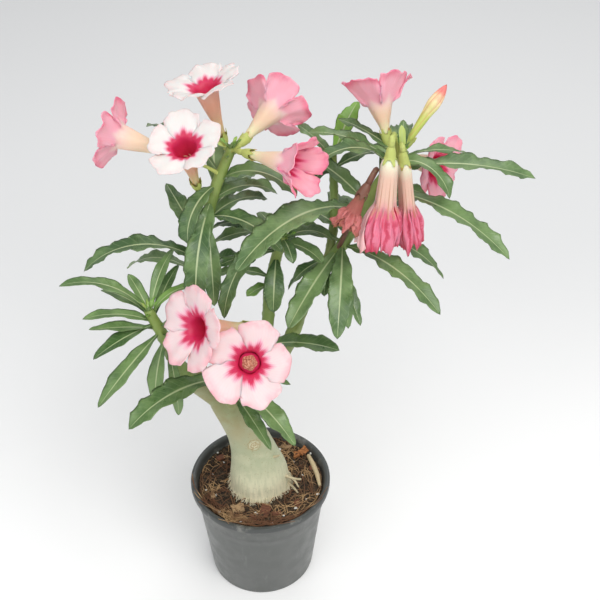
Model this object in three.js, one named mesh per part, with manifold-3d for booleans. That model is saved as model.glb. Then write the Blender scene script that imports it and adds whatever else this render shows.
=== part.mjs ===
// A young desert rose in a round nursery pot, in millimetres, +Z up.
// The origin is the middle of the pot's underside. -Y is the front of the plant.
import * as THREE from 'three';
import { mergeVertices } from 'three/addons/utils/BufferGeometryUtils.js';
import Module from 'manifold-3d';

const wasm = await Module();
wasm.setup();

// Pot
const RIM_RADIUS = 50;
const POT_HEIGHT = 85;
const POT_FOOT_RADIUS = 38;
const POT_WALL = 1.6;
const LIP_DEPTH = 5;
const LIP_OVERHANG = 3.2;
const DRAIN_HOLES = 6;
const DRAIN_RADIUS = 3.2;
const DRAIN_CIRCLE = 27;

// Soil
const SOIL_TOP = 77;
const SOIL_RELIEF = 1.6;
const CHIP_COUNT = 9;

// What lies beside something else keeps this much room
const GAP = 0.3;

// Leaves
const BLADE = 0.35;
const RIB = 0.5;
const PETIOLE = 1.5;
const LONG_LEAF = 57;
const LONG_STATIONS = [0, 0.13, 0.3, 0.48, 0.66, 0.85, 1];
const SHORT_STATIONS = [0, 0.25, 0.55, 0.82, 1];
const MARGIN_WAVE = 1.3;
const VEE = 14;

// Blooms
const LOBES = 5;
const PETAL_SHEET = 0.8;
const TUBE_FLOOR = 0.3;
const NOTCH = 0.4;
const CALYX_RADIUS = 3.4;
const CALYX_LENGTH = 6;
const STALK_RADIUS = 1.5;

const rad = THREE.MathUtils.degToRad;
const vec = (x, y, z) => new THREE.Vector3(x, y, z);

// Steady pseudo-random numbers from 0 to 1
function drawer(seed) {
  let state = seed;
  return () => {
    state = (state * 1103515245 + 12345) % 2147483648;
    return state / 2147483648;
  };
}

// A unit vector from a compass turn (0 is +X, 90 is +Y) and a rise over level
function heading(turn, rise) {
  const level = Math.cos(rad(rise));
  return vec(level * Math.cos(rad(turn)), level * Math.sin(rad(turn)), Math.sin(rad(rise)));
}

// A closed skin over rings of equal count, each ring turning left as seen from its far end.
// Quads are cut corner to corner, and those that crossed() names are cut the other way.
function skin(rings, crossed = () => false) {
  const count = rings[0].length;
  const index = [];
  for (let i = 0; i < rings.length - 1; i += 1) {
    for (let j = 0; j < count; j += 1) {
      const a = i * count + j;
      const b = i * count + ((j + 1) % count);
      const c = b + count;
      const d = a + count;
      if (crossed(j)) index.push(a, b, d, b, c, d);
      else index.push(a, b, c, a, c, d);
    }
  }
  const last = (rings.length - 1) * count;
  for (let j = 1; j < count - 1; j += 1) {
    index.push(0, j + 1, j, last, last + j, last + j + 1);
  }
  const geometry = new THREE.BufferGeometry();
  const points = rings.flat().flatMap((p) => [p.x, p.y, p.z]);
  geometry.setAttribute('position', new THREE.Float32BufferAttribute(points, 3));
  geometry.setIndex(index);
  return geometry;
}

// A geometry as a solid that can be joined and cut
function solid(source) {
  let geometry = source.clone();
  geometry.deleteAttribute('normal');
  geometry.deleteAttribute('uv');
  geometry = mergeVertices(geometry, 1e-4);
  return new wasm.Manifold(new wasm.Mesh({
    numProp: 3,
    vertProperties: new Float32Array(geometry.attributes.position.array),
    triVerts: new Uint32Array(geometry.index.array),
  }));
}

// A solid back as a geometry: its largest body, so sealed hollows and scraps go
function drawn(joined) {
  const bodies = joined.decompose();
  bodies.sort((a, b) => b.volume() - a.volume());
  const mesh = bodies[0].getMesh();
  const geometry = new THREE.BufferGeometry();
  geometry.setAttribute('position', new THREE.Float32BufferAttribute(mesh.vertProperties, 3));
  geometry.setIndex(Array.from(mesh.triVerts));
  return geometry;
}

function fused(geometries) {
  return drawn(geometries.map(solid).reduce((whole, next) => whole.add(next)));
}

// A round stem along a curve between two of its stretches, with a radius for each end
function stem(curve, from, to, radiusFrom, radiusTo, sides, steps) {
  const rings = [];
  let side = vec(0, 1, 0.1);
  for (let i = 0; i <= steps; i += 1) {
    const share = i / steps;
    const along = from + (to - from) * share;
    const centre = curve.getPointAt(along);
    const ahead = curve.getTangentAt(along);
    side = side.clone().addScaledVector(ahead, -side.dot(ahead)).normalize();
    const other = ahead.clone().cross(side);
    const radius = radiusFrom + (radiusTo - radiusFrom) * share;
    const ring = [];
    for (let j = 0; j < sides; j += 1) {
      const angle = (2 * Math.PI * j) / sides;
      ring.push(centre.clone()
        .addScaledVector(side, radius * Math.cos(angle))
        .addScaledVector(other, radius * Math.sin(angle)));
    }
    rings.push(ring);
  }
  return skin(rings);
}

// Half the width of a blade, from petiole to tip, as a share of its greatest
function bladeOutline(t) {
  return Math.max(0.07, Math.sin(Math.PI * t ** 1.2) ** 0.62);
}

// A leaf that leaves its stem at a turn and a rise, and arches down by its droop.
// Its two halves fold up from the rib, and its margins wave.
function leaf({ base, turn, rise, length, droop, sweep, width }, index) {
  const rings = [];
  const draw = drawer(17 + index * 31);
  const phase = draw() < 0.5 ? 1 : -1;
  const stations = length > LONG_LEAF ? LONG_STATIONS : SHORT_STATIONS;
  const substeps = 8;
  const centre = base.clone();
  let done = 0;
  stations.forEach((t, station) => {
    const stretch = (t - done) / substeps;
    for (let k = 0; k < substeps && stretch > 0; k += 1) {
      const at = done + stretch * (k + 0.5);
      centre.addScaledVector(heading(turn + sweep * at, rise - droop * at), length * stretch);
    }
    done = t;
    const ahead = heading(turn + sweep * t, rise - droop * t);
    const side = vec(-Math.sin(rad(turn + sweep * t)), Math.cos(rad(turn + sweep * t)), 0);
    const up = ahead.clone().cross(side);
    const half = Math.max(PETIOLE / 2, (width / 2) * bladeOutline(t));
    const inside = t > 0.05 && t < 0.95 ? 1 : 0;
    const wave = inside * MARGIN_WAVE * phase * (station % 2 ? 1 : -1) * (0.6 + 0.6 * draw());
    const lift = inside * half * Math.sin(rad(VEE));
    const left = centre.clone().addScaledVector(side, half).addScaledVector(up, lift + wave);
    const right = centre.clone().addScaledVector(side, -half).addScaledVector(up, lift - wave);
    const top = (p, thick) => p.clone().addScaledVector(up, thick);
    rings.push([
      top(centre, RIB), top(right, BLADE), top(right, -BLADE),
      top(centre, -RIB), top(left, -BLADE), top(left, BLADE),
    ]);
  });
  return skin(rings, (j) => j === 2 || j === 3);
}

// The frame of a bloom: its base, its axis and two directions across it
function bloomFrame({ mouth, turn, rise, spin = 0, tube }) {
  const axis = heading(turn, rise);
  const across = vec(-Math.sin(rad(turn)), Math.cos(rad(turn)), 0).applyAxisAngle(axis, rad(spin));
  const other = axis.clone().cross(across);
  const base = mouth.clone().addScaledVector(axis, -tube);
  return { axis, across, other, base };
}

// A corolla: a funnel that opens into five waved lobes, as one thin sheet with two faces.
// flare gives the angle from the axis at the mouth and at the lobes' tips.
function corolla(bloom) {
  const { tube, waist, throat, petal, flare, ruffle, seed } = bloom;
  const { axis, across, other, base } = bloomFrame(bloom);
  const draw = drawer(seed);
  const reach = [NOTCH, 0.94, 1.03, 0.9];
  const shift = [0, 0.12, 0.48, 0.86];
  const columns = [];
  for (let lobe = 0; lobe < LOBES; lobe += 1) {
    const length = 0.93 + 0.14 * draw();
    reach.forEach((share, k) => {
      columns.push({
        angle: (2 * Math.PI * (lobe + shift[k])) / LOBES,
        share: share * (k ? length : 1),
        wave: k ? ruffle * (draw() - 0.5) * 2 : 0,
      });
    });
  }
  // Rows up the outer face as [radius, height, lobe share], then the same ones down the inner
  const walls = [[2.1, 0], [waist, TUBE_FLOOR], [throat, 1]];
  const limbRows = [0.5, 1];
  const ring = (inner, row) => columns.map((column) => {
    let radius = 0;
    let height = 0;
    let tilt = 0;
    let wave = 0;
    if (row < walls.length) {
      radius = walls[row][0];
      height = walls[row][1] * tube;
      tilt = row === walls.length - 1 ? rad(flare[0]) * 0.6 : rad(12);
    } else {
      const s = limbRows[row - walls.length];
      const steps = 6;
      radius = throat;
      height = tube;
      for (let k = 0; k < steps; k += 1) {
        const at = ((k + 0.5) / steps) * s;
        const angle = rad(flare[0] + (flare[1] - flare[0]) * at);
        radius += (Math.sin(angle) * petal * s * column.share) / steps;
        height += (Math.cos(angle) * petal * s * column.share) / steps;
      }
      tilt = rad(flare[0] + (flare[1] - flare[0]) * s);
      wave = column.wave * s;
    }
    const offset = (inner ? PETAL_SHEET : 0) + wave;
    const r = radius - offset * Math.cos(tilt);
    const h = height + offset * Math.sin(tilt);
    return base.clone()
      .addScaledVector(axis, h)
      .addScaledVector(across, r * Math.cos(column.angle))
      .addScaledVector(other, r * Math.sin(column.angle));
  });
  const rows = walls.length + limbRows.length;
  const outer = [...Array(rows).keys()].map((row) => ring(false, row));
  const inner = [...Array(rows - 1).keys()].map((row) => ring(true, row + 1)).reverse();
  return sheetSkin(outer, inner);
}

// As skin(), with the inner face cut alike to the outer one
function sheetSkin(outer, inner) {
  const rings = [...outer, ...inner];
  const count = rings[0].length;
  const index = [];
  for (let i = 0; i < rings.length - 1; i += 1) {
    for (let j = 0; j < count; j += 1) {
      const a = i * count + j;
      const b = i * count + ((j + 1) % count);
      const c = b + count;
      const d = a + count;
      if (i >= outer.length) index.push(a, b, d, b, c, d);
      else index.push(a, b, c, a, c, d);
    }
  }
  const geometry = new THREE.BufferGeometry();
  const points = rings.flat();
  const foot = points.length;
  const floor = foot + 1;
  points.push(middle(rings[0]), middle(rings[rings.length - 1]));
  const last = (rings.length - 1) * count;
  for (let j = 0; j < count; j += 1) {
    const next = (j + 1) % count;
    index.push(foot, next, j, floor, last + j, last + next);
  }
  geometry.setAttribute('position', new THREE.Float32BufferAttribute(
    points.flatMap((p) => [p.x, p.y, p.z]),
    3,
  ));
  geometry.setIndex(index);
  return geometry;
}

function middle(points) {
  const sum = points.reduce((total, p) => total.add(p), vec(0, 0, 0));
  return sum.divideScalar(points.length);
}

// The green stalk of a bloom, from its stem to the cup of pointed sepals that holds the tube
function stalk(from, bloom) {
  const { axis, across, other, base } = bloomFrame(bloom);
  const seat = base.clone().addScaledVector(axis, -GAP);
  const foot = seat.clone().addScaledVector(axis, -CALYX_LENGTH);
  const bend = foot.clone().addScaledVector(axis, -foot.distanceTo(from) * 0.45);
  const curve = new THREE.QuadraticBezierCurve3(from, bend, foot);
  const rod = stem(curve, 0, 1, STALK_RADIUS, STALK_RADIUS, 5, 3);
  const sides = 10;
  const ring = (radius, height, points) => {
    const out = [];
    for (let j = 0; j < sides; j += 1) {
      const angle = (2 * Math.PI * j) / sides;
      const h = height + (j % 2 ? points : 0);
      out.push(seat.clone()
        .addScaledVector(axis, h)
        .addScaledVector(across, radius * Math.cos(angle))
        .addScaledVector(other, radius * Math.sin(angle)));
    }
    return out;
  };
  const inside = 2.4 + GAP + 0.25;
  const cup = skin([
    ring(STALK_RADIUS, -CALYX_LENGTH - 1, 0),
    ring(CALYX_RADIUS + 0.3, 0.5, 2.8),
    ring(inside + 0.1, 0.4, 2.7),
    ring(inside, 0, 0),
  ]);
  return [rod, cup];
}

// The cone of anthers that stands in a bloom's throat
function stamens(bloom) {
  const { axis, across, other, base } = bloomFrame(bloom);
  const low = bloom.tube * TUBE_FLOOR + GAP + 0.2;
  const high = bloom.tube * 0.86;
  const profile = [[1.4, low], [1.7, low + 6], [2.6, high - 4], [1.9, high - 1], [0.7, high]];
  return skin(profile.map(([radius, height]) => {
    const ring = [];
    for (let j = 0; j < 8; j += 1) {
      const angle = (2 * Math.PI * j) / 8;
      ring.push(base.clone()
        .addScaledVector(axis, height)
        .addScaledVector(across, radius * Math.cos(angle))
        .addScaledVector(other, radius * Math.sin(angle)));
    }
    return ring;
  }));
}

// A bud: a spindle of five furled petals, drawn out to a point and twisted
function bud(bloom) {
  const { axis, across, other, base } = bloomFrame(bloom);
  const profile = [[2, 0], [2.4, 0.2], [3.2, 0.45], [4.2, 0.64], [3.6, 0.8], [1.8, 0.93], [0.4, 1]];
  const sides = 10;
  return skin(profile.map(([radius, share]) => {
    const ring = [];
    for (let j = 0; j < sides; j += 1) {
      const angle = (2 * Math.PI * j) / sides + share * 1.2;
      const r = radius * (j % 2 && share > 0.3 ? 0.84 : 1);
      ring.push(base.clone()
        .addScaledVector(axis, share * bloom.tube)
        .addScaledVector(across, r * Math.cos(angle))
        .addScaledVector(other, r * Math.sin(angle)));
    }
    return ring;
  }));
}

// The stems, each a curve from inside the trunk out to its tip.
// woody is the share of it that is bark, and belongs to the trunk's own piece.
const STEMS = {
  left: {
    path: [[-12, 0, 146], [-31, 0, 164], [-43, -3, 179], [-51, -9, 200], [-58, -12, 226], [-65, -13, 246]],
    woody: 0.46,
    radii: [7.5, 3],
  },
  upper_left: {
    path: [[-35, 1, 165], [-41, 11, 190], [-40, 16, 222], [-34, 17, 265], [-24, 20, 309], [-12, 25, 338]],
    woody: 0.2,
    radii: [6, 3],
  },
  centre: {
    path: [[-14, 2, 145], [-5, 11, 171], [6, 17, 204], [9, 20, 238], [13, 20, 261], [18, 18, 280]],
    woody: 0.3,
    radii: [5, 3.2],
  },
  right: {
    path: [[-8, 4, 140], [6, 14, 164], [21, 21, 193], [32, 25, 225], [46, 26, 252], [60, 29, 275],
      [74, 31, 305], [91, 34, 332]],
    woody: 0.22,
    radii: [5.4, 3.2],
  },
  back: {
    path: [[46, 26, 252], [50, 40, 276], [49, 56, 316]],
    woody: 0,
    radii: [3.2, 2.4],
  },
  low: {
    path: [[-18, 0, 150], [-18, -9, 172], [-17, -21, 202]],
    woody: 0.3,
    radii: [4, 3],
  },
};
for (const branch of Object.values(STEMS)) {
  branch.curve = new THREE.CatmullRomCurve3(branch.path.map((p) => vec(...p)), false, 'centripetal');
}

// Leaves by stem: where on it, turn, rise, length, droop, sweep and width
const LEAVES = {
  left: [
    [0.98, 178, 65, 62, 90, 0, 11],
    [0.95, 125, 45, 32, 30, 0, 9],
    [0.98, 75, 60, 46, 55, -10, 9],
    [0.92, 190, 35, 44, 50, 0, 11],
    [0.87, 205, 25, 44, 15, 0, 11],
    [0.96, 152, 35, 38, 50, 0, 10],
    [0.9, 215, 5, 44, 30, 0, 13],
    [0.84, 232, -15, 60, 20, -5, 14],
    [0.78, 252, -35, 42, 50, 0, 12],
    [0.74, 290, -50, 52, 50, 0, 9],
    [0.97, 28, 65, 42, 110, 0, 9],
    [0.94, 68, 45, 40, 40, 0, 9],
    [0.88, -12, 50, 32, 55, 0, 12],
    [0.83, -50, 30, 40, 40, 0, 12],
  ],
  upper_left: [
    [0.86, 229, 0, 44, 100, 3, 14],
    [0.8, 257, -10, 76, 90, 2, 15],
    [0.72, 280, -20, 54, 60, -5, 11],
    [0.56, 184, 45, 80, 95, 5, 16],
    [0.5, 160, 35, 56, 90, 0, 11],
    [0.62, 127, 40, 48, 20, -5, 12],
    [0.9, 135, 42, 74, 75, 0, 11],
    [0.88, -12, 45, 54, 100, -5, 16],
    [0.8, 18, 40, 45, 90, 0, 14],
    [0.74, -30, 28, 56, 75, 0, 16],
    [0.72, 28, 45, 44, 80, 0, 13],
    [0.79, -95, 10, 26, 90, 0, 9],
    [0.68, -15, 45, 44, 65, -10, 12],
    [0.6, 15, 40, 40, 60, 0, 11],
    [0.54, 0, 35, 32, 50, 0, 11],
    [0.93, 60, 40, 18, 15, 0, 7],
    [0.85, 95, 35, 62, 60, 0, 14],
    [0.7, 65, 30, 70, 60, 0, 14],
  ],
  centre: [
    [0.92, 232, 52, 76, 135, 12, 12],
    [0.92, 206, 12, 44, 25, 0, 9],
    [0.76, 173, 25, 36, 55, 0, 8],
    [0.72, 226, 20, 20, 30, 0, 9],
    [0.99, -70, 10, 20, 60, 0, 8],
    [0.88, -95, -25, 36, 55, 0, 13],
    [0.96, -25, 20, 30, 70, 0, 12],
    [0.98, 5, 45, 34, 100, 0, 11],
    [0.95, 115, 30, 32, 40, 0, 12],
    [0.83, 70, 30, 56, 50, 0, 13],
    [0.38, -19, 30, 54, 38, 0, 17],
  ],
  right: [
    [0.64, 238, -10, 62, 32, -5, 16],
    [0.66, 268, 0, 66, 60, -5, 15],
    [0.63, 281, -18, 50, 50, 0, 10],
    [0.6, 299, -20, 46, 34, 0, 9],
    [0.61, 200, 2, 36, 68, 0, 9],
    [0.58, 262, -20, 20, 40, 0, 8],
    [0.67, 170, 24, 37, 24, 0, 14],
    [0.7, 140, 18, 34, 18, 0, 12],
    [0.72, 110, 8, 42, 10, -5, 12],
    [0.68, 88, 10, 55, 25, 0, 13],
    [0.66, -42, 16, 81, 55, 0, 15],
    [0.69, -17, 22, 70, 80, 0, 13],
    [0.78, 218, 40, 106, 80, 5, 22],
    [0.81, 150, 45, 52, 40, 0, 16],
    [0.94, 195, 65, 62, 120, 5, 14],
    [0.96, 158, 30, 58, 44, 0, 12],
    [0.98, 136, 20, 50, 26, 0, 8],
    [0.97, 16, 15, 50, 45, 0, 7],
    [0.95, -34, 45, 48, 120, -5, 12],
    [0.93, -7, 18, 88, 38, 3, 18],
    [0.99, 85, 48, 20, 12, 0, 7],
    [0.86, -20, 6, 93, 44, -14, 16],
    [0.74, 10, 5, 46, 60, -30, 11],
    [0.86, 2, 12, 32, 45, 0, 10],
    [0.7, 40, 30, 66, 60, 0, 14],
    [0.88, 70, 35, 70, 60, 0, 14],
  ],
  back: [
    [0.98, 149, 45, 30, 26, 0, 9],
    [0.98, 68, 38, 48, 34, 0, 12],
    [0.94, 175, 20, 22, 28, 0, 11],
    [0.9, 216, -5, 22, 43, 0, 11],
    [0.88, 20, 30, 44, 50, 0, 12],
  ],
  low: [
    [0.85, 209, 25, 74, 62, 8, 19],
    [0.62, -60, 0, 52, 35, 8, 10],
    [0.78, -46, 12, 64, 50, 0, 15],
    [0.93, -15, 15, 40, 25, 0, 11],
  ],
};

// Blooms by node: stem, where on it, middle of the mouth, way it faces, and its own form
const OPEN = { tube: 38, waist: 3.1, throat: 7.5, petal: 20, flare: [50, 95], ruffle: 1.6 };
const BLOOMS = {
  bloom_front: {
    ...OPEN, on: 'low', share: 0.98, mouth: vec(-1, -60, 244), turn: -88, rise: 38, spin: 24, seed: 3,
  },
  bloom_front_left: {
    ...OPEN, on: 'low', share: 0.98, mouth: vec(-31, -48, 260), turn: -140, rise: 25, spin: 66, seed: 5,
    petal: 19,
  },
  bloom_white: {
    ...OPEN, on: 'upper_left', share: 0.86, mouth: vec(-37, 2, 351), turn: -105, rise: 66, seed: 7,
    petal: 17, tube: 34,
  },
  bloom_top: {
    ...OPEN, on: 'upper_left', share: 0.98, mouth: vec(-27, 42, 368), turn: 180, rise: 75, seed: 11,
    petal: 17, tube: 32,
  },
  bloom_far_left: {
    ...OPEN, on: 'upper_left', share: 0.9, mouth: vec(-77, 26, 345), turn: 168, rise: 14, seed: 13,
    petal: 16, tube: 33, flare: [42, 85],
  },
  bloom_back: {
    ...OPEN, on: 'upper_left', share: 0.99, mouth: vec(10, 60, 343), turn: 63, rise: 5, seed: 17,
    petal: 18, tube: 32, flare: [38, 75],
  },
  bloom_middle: {
    ...OPEN, on: 'upper_left', share: 0.99, mouth: vec(19.3, -2, 343.6), turn: -36, rise: 6, seed: 19,
    spin: 30, petal: 21, tube: 24, throat: 6.5, flare: [12, 56],
  },
  bloom_right: {
    ...OPEN, on: 'right', share: 0.99, mouth: vec(77, 54, 351), turn: 112, rise: 57, seed: 23,
    petal: 22, tube: 18, flare: [22, 76],
  },
  bloom_behind_leaves: {
    ...OPEN, on: 'right', share: 0.98, mouth: vec(114, 57, 307), turn: -43, rise: 8, seed: 29,
    petal: 15, tube: 32,
  },
  bloom_hanging: {
    ...OPEN, on: 'right', share: 0.97, mouth: vec(78, -2, 314), turn: -120, rise: -84, seed: 31,
    petal: 27, tube: 32, waist: 5.2, throat: 6.4, flare: [28, 0], ruffle: 2.4,
  },
  bloom_hanging_right: {
    ...OPEN, on: 'right', share: 0.98, mouth: vec(93, 12, 304), turn: -20, rise: -82, seed: 37,
    petal: 25, tube: 32, waist: 4.4, throat: 5, flare: [20, 0], ruffle: 2,
  },
  bloom_dead: {
    ...OPEN, on: 'right', share: 0.62, mouth: vec(59, -3, 311), turn: -150, rise: -58, seed: 41,
    petal: 13, tube: 13, flare: [25, -10], ruffle: 2, throat: 5,
  },
};
const BUD = {
  on: 'right', share: 1, mouth: vec(117, 60, 362), turn: 34, rise: 48, tube: 40,
};
const WITH_STAMENS = ['bloom_front', 'bloom_front_left', 'bloom_white', 'bloom_top',
  'bloom_far_left', 'bloom_middle'];

const model = new THREE.Group();

function place(name, geometry, colour, roughness) {
  const material = new THREE.MeshStandardMaterial({ color: colour, roughness, metalness: 0 });
  const mesh = new THREE.Mesh(geometry, material);
  mesh.name = name;
  model.add(mesh);
}

// Pot: a thin moulded cup with a turned-down lip and a ring of drainage holes
function potGeometry() {
  const foot = POT_FOOT_RADIUS;
  const wallTop = RIM_RADIUS - LIP_OVERHANG;
  const profile = [
    [0, 0], [foot - 2, 0], [foot, 2], [wallTop, POT_HEIGHT - LIP_DEPTH],
    [RIM_RADIUS - 0.4, POT_HEIGHT - LIP_DEPTH], [RIM_RADIUS, POT_HEIGHT - 1.2],
    [RIM_RADIUS - 1, POT_HEIGHT], [wallTop - 0.6, POT_HEIGHT - 0.4],
    [wallTop - POT_WALL, POT_HEIGHT - LIP_DEPTH], [foot - POT_WALL, 3], [0, POT_WALL + 1],
  ].map(([x, y]) => new THREE.Vector2(x, y));
  const cup = new THREE.LatheGeometry(profile, 32);
  cup.rotateX(Math.PI / 2);
  let body = solid(cup);
  for (let k = 0; k < DRAIN_HOLES; k += 1) {
    const angle = (2 * Math.PI * (k + 0.5)) / DRAIN_HOLES;
    const hole = new THREE.CylinderGeometry(DRAIN_RADIUS, DRAIN_RADIUS, 12, 8);
    hole.rotateX(Math.PI / 2);
    hole.translate(DRAIN_CIRCLE * Math.cos(angle), DRAIN_CIRCLE * Math.sin(angle), 0);
    body = body.subtract(solid(hole));
  }
  return drawn(body);
}

// Trunk: rings of its swollen foot and leaning top as centre x, centre z, radius and tilt
const TRUNK = [
  [0, 42, 9, 0], [0, 50, 15, 0], [0, 62, 19.5, 0], [-0.5, 74, 20.8, 0], [-1, 84, 20.6, 0],
  [-1.5, 94, 19.8, 0], [-2.5, 104, 17.6, 2], [-4.5, 114, 15.4, 6], [-7, 124, 13.8, 12],
  [-10.5, 134, 12.4, 20], [-15.5, 143.5, 11, 30], [-22, 152, 8.8, 38], [-28, 159, 6, 42],
];
const TRUNK_SIDES = 16;

function trunkRings(extra) {
  return TRUNK.map(([x, z, radius, tilt], level) => {
    const ring = [];
    for (let j = 0; j < TRUNK_SIDES; j += 1) {
      const angle = (2 * Math.PI * j) / TRUNK_SIDES;
      const swell = 1 + 0.03 * Math.sin(3 * angle + level * 0.4) + 0.02 * Math.cos(2 * angle);
      const r = radius * swell + extra;
      const outward = r * Math.cos(angle);
      ring.push(vec(x + outward * Math.cos(rad(tilt)), r * Math.sin(angle),
        z + outward * Math.sin(rad(tilt))));
    }
    return ring;
  });
}

function trunkGeometry() {
  const pieces = [skin(trunkRings(0))];
  for (const branch of Object.values(STEMS)) {
    if (branch.woody > 0) {
      const [thick, thin] = branch.radii;
      const middleRadius = thick + (thin - thick) * branch.woody;
      pieces.push(stem(branch.curve, 0, branch.woody, thick, middleRadius, 8, 3));
    }
  }
  const rootlets = [
    [[17, -6, 92], [24, -9, 91], [29, -11, 93]],
    [[18, -4, 84], [24, -7, 80], [27, -10, 78]],
    [[10, -8, 112], [14, -10, 116]],
  ];
  for (const path of rootlets) {
    const curve = new THREE.CatmullRomCurve3(path.map((p) => vec(...p)));
    pieces.push(stem(curve, 0, 1, 1.1, 0.6, 5, 3));
  }
  return fused(pieces);
}

// Soil: a plug with a low rough top, chips of bark half sunk in it, and a hole for the trunk
function soilGeometry() {
  const draw = drawer(71);
  const wallAt = (z) => {
    const share = (z - 2) / (POT_HEIGHT - LIP_DEPTH - 2);
    return POT_FOOT_RADIUS + (RIM_RADIUS - LIP_OVERHANG - POT_FOOT_RADIUS) * share - POT_WALL - GAP - 0.3;
  };
  const sides = 28;
  const ring = (radius, z, rough) => {
    const out = [];
    for (let j = 0; j < sides; j += 1) {
      const angle = (2 * Math.PI * j) / sides;
      out.push(vec(radius * Math.cos(angle), radius * Math.sin(angle), z + rough * (draw() - 0.5) * 2));
    }
    return out;
  };
  const top = [46, 38, 29, 17].map((radius, k) => {
    const edge = Math.min(radius, wallAt(SOIL_TOP) - 0.2);
    return ring(edge, SOIL_TOP - (k === 0 ? 1 : 0), k === 0 ? 0.3 : SOIL_RELIEF);
  });
  let body = solid(skin([ring(wallAt(5), 4.6, 0), ring(wallAt(SOIL_TOP - 2), SOIL_TOP - 2, 0), ...top]));
  for (let k = 0; k < CHIP_COUNT; k += 1) {
    const angle = 2.399963 * k;
    const radius = 24 + 19 * Math.sqrt((k + 0.5) / CHIP_COUNT) * 0.95;
    const chip = new THREE.BoxGeometry(3 + 5 * draw(), 2 + 3 * draw(), 3);
    chip.rotateX((draw() - 0.5) * 0.7);
    chip.rotateZ(draw() * Math.PI);
    chip.translate(Math.min(radius, 41) * Math.cos(angle), Math.min(radius, 41) * Math.sin(angle),
      SOIL_TOP + 0.6);
    body = body.add(solid(chip));
  }
  return drawn(body.subtract(solid(skin(trunkRings(GAP)))));
}

place('pot', potGeometry(), 0x4a4d4c, 0.5);
place('soil', soilGeometry(), 0x4b3526, 1);
place('trunk', trunkGeometry(), 0xa2a585, 0.7);

// Leafy stems: the green of each stem with its leaves, the stalks and the cups of its blooms
const stalked = { ...BLOOMS, bud: BUD };
for (const [name, branch] of Object.entries(STEMS)) {
  if (name !== 'back') {
    place(`leafy_stem_${name}`, leafyStem(name, branch), 0x5d8a45, 0.5);
  }
}

function leafyStem(name, branch) {
  const pieces = [];
  const grow = (key, start) => {
    const { curve, radii, woody } = STEMS[key];
    const thick = radii[0] + (radii[1] - radii[0]) * woody;
    pieces.push(stem(curve, start, 1, thick, radii[1], 8, 5));
    LEAVES[key].forEach(([at, turn, rise, length, droop, sweep, width], index) => {
      const base = curve.getPointAt(at).addScaledVector(heading(turn, 0), radii[1] * 0.5);
      pieces.push(leaf({ base, turn, rise, length, droop, sweep, width }, index));
    });
  };
  grow(name, branch.woody + GAP / branch.curve.getLength());
  if (name === 'right') grow('back', 0);
  for (const bloom of Object.values(stalked)) {
    if (bloom.on === name) pieces.push(...stalk(branch.curve.getPointAt(bloom.share), bloom));
  }
  return fused(pieces);
}

const PETAL_COLOURS = {
  bloom_front: 0xf8d3d3, bloom_front_left: 0xf8cfd0, bloom_white: 0xf9ecec, bloom_top: 0xf7e7e6,
  bloom_far_left: 0xe98a96, bloom_back: 0xe37f8e, bloom_middle: 0xe58594, bloom_right: 0xec8f98,
  bloom_behind_leaves: 0xe0788a, bloom_hanging: 0xdf7482, bloom_hanging_right: 0xe58590,
  bloom_dead: 0x9c5560,
};
for (const [name, bloom] of Object.entries(BLOOMS)) {
  place(name, corolla(bloom), PETAL_COLOURS[name], 0.55);
}
for (const name of WITH_STAMENS) {
  place(name.replace('bloom', 'stamens'), stamens(BLOOMS[name]), 0xc9906c, 0.8);
}
place('bud', bud(BUD), 0xe59a7e, 0.55);

export default model;
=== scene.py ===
# A young desert rose in a nursery pot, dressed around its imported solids.
# The scene is in metres, +Z up, with the middle of the pot's underside at the origin.
import math
import random

import bmesh
import bpy
from mathutils import Matrix, Quaternion, Vector, noise


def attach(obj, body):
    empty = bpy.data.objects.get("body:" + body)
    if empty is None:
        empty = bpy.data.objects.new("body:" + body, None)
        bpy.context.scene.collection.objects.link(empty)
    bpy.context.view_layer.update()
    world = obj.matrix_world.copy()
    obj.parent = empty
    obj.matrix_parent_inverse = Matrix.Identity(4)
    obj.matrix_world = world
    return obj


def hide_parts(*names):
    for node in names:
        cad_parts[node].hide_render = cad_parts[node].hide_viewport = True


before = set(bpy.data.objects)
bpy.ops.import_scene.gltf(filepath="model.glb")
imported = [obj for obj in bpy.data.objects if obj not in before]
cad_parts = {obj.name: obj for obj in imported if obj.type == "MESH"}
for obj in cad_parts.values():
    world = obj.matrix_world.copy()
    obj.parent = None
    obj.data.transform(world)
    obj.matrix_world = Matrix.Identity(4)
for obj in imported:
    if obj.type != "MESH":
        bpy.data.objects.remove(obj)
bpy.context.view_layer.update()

# Pot
# A thin nursery pot, moulded in one piece from dark grey polypropylene, with a rolled lip to lift
# it by, a step under the lip where pots nest, and a ring of drainage holes in its floor.
MM = 0.001
POT_SIDES = 128
POT_PROFILE = [
    (34, 0.4), (36.6, 0), (37.6, 0.5), (38, 2), (44.4, 60), (45.2, 66.4), (45.9, 67.2),
    (46.7, 79.4), (47.4, 80), (49.4, 80), (49.9, 80.5), (50, 81.5), (50, 83.6), (49.6, 84.6),
    (48.8, 85), (47.6, 84.9), (46.5, 84.2), (45.9, 83), (45.1, 79), (36.5, 3.6), (35.4, 2.6),
    (30, 2.5),
]
DRAIN_HOLES = 6
DRAIN_RADIUS = 3.2
DRAIN_CIRCLE = 27
PLASTIC = (0.1, 0.106, 0.1, 1)
# The lip's colour is painted shade: the same plastic as the wall, darker where less light falls on
# the lip.
PLASTIC_LIP_SHADE = (0.055, 0.06, 0.058, 1)
PLASTIC_WORN = (0.2, 0.21, 0.2, 1)
LIME_BLOOM = (0.42, 0.41, 0.37, 1)
# Scales that draw a pattern out into upright streaks
STREAKED = (1, 1, 0.12)


def chosen(piece):
    """Selects one piece alone."""
    bpy.ops.object.select_all(action="DESELECT")
    piece.select_set(True)
    bpy.context.view_layer.objects.active = piece


def named(name):
    """The piece just made, under its name."""
    made = bpy.context.object
    made.name = made.data.name = name
    return made


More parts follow.
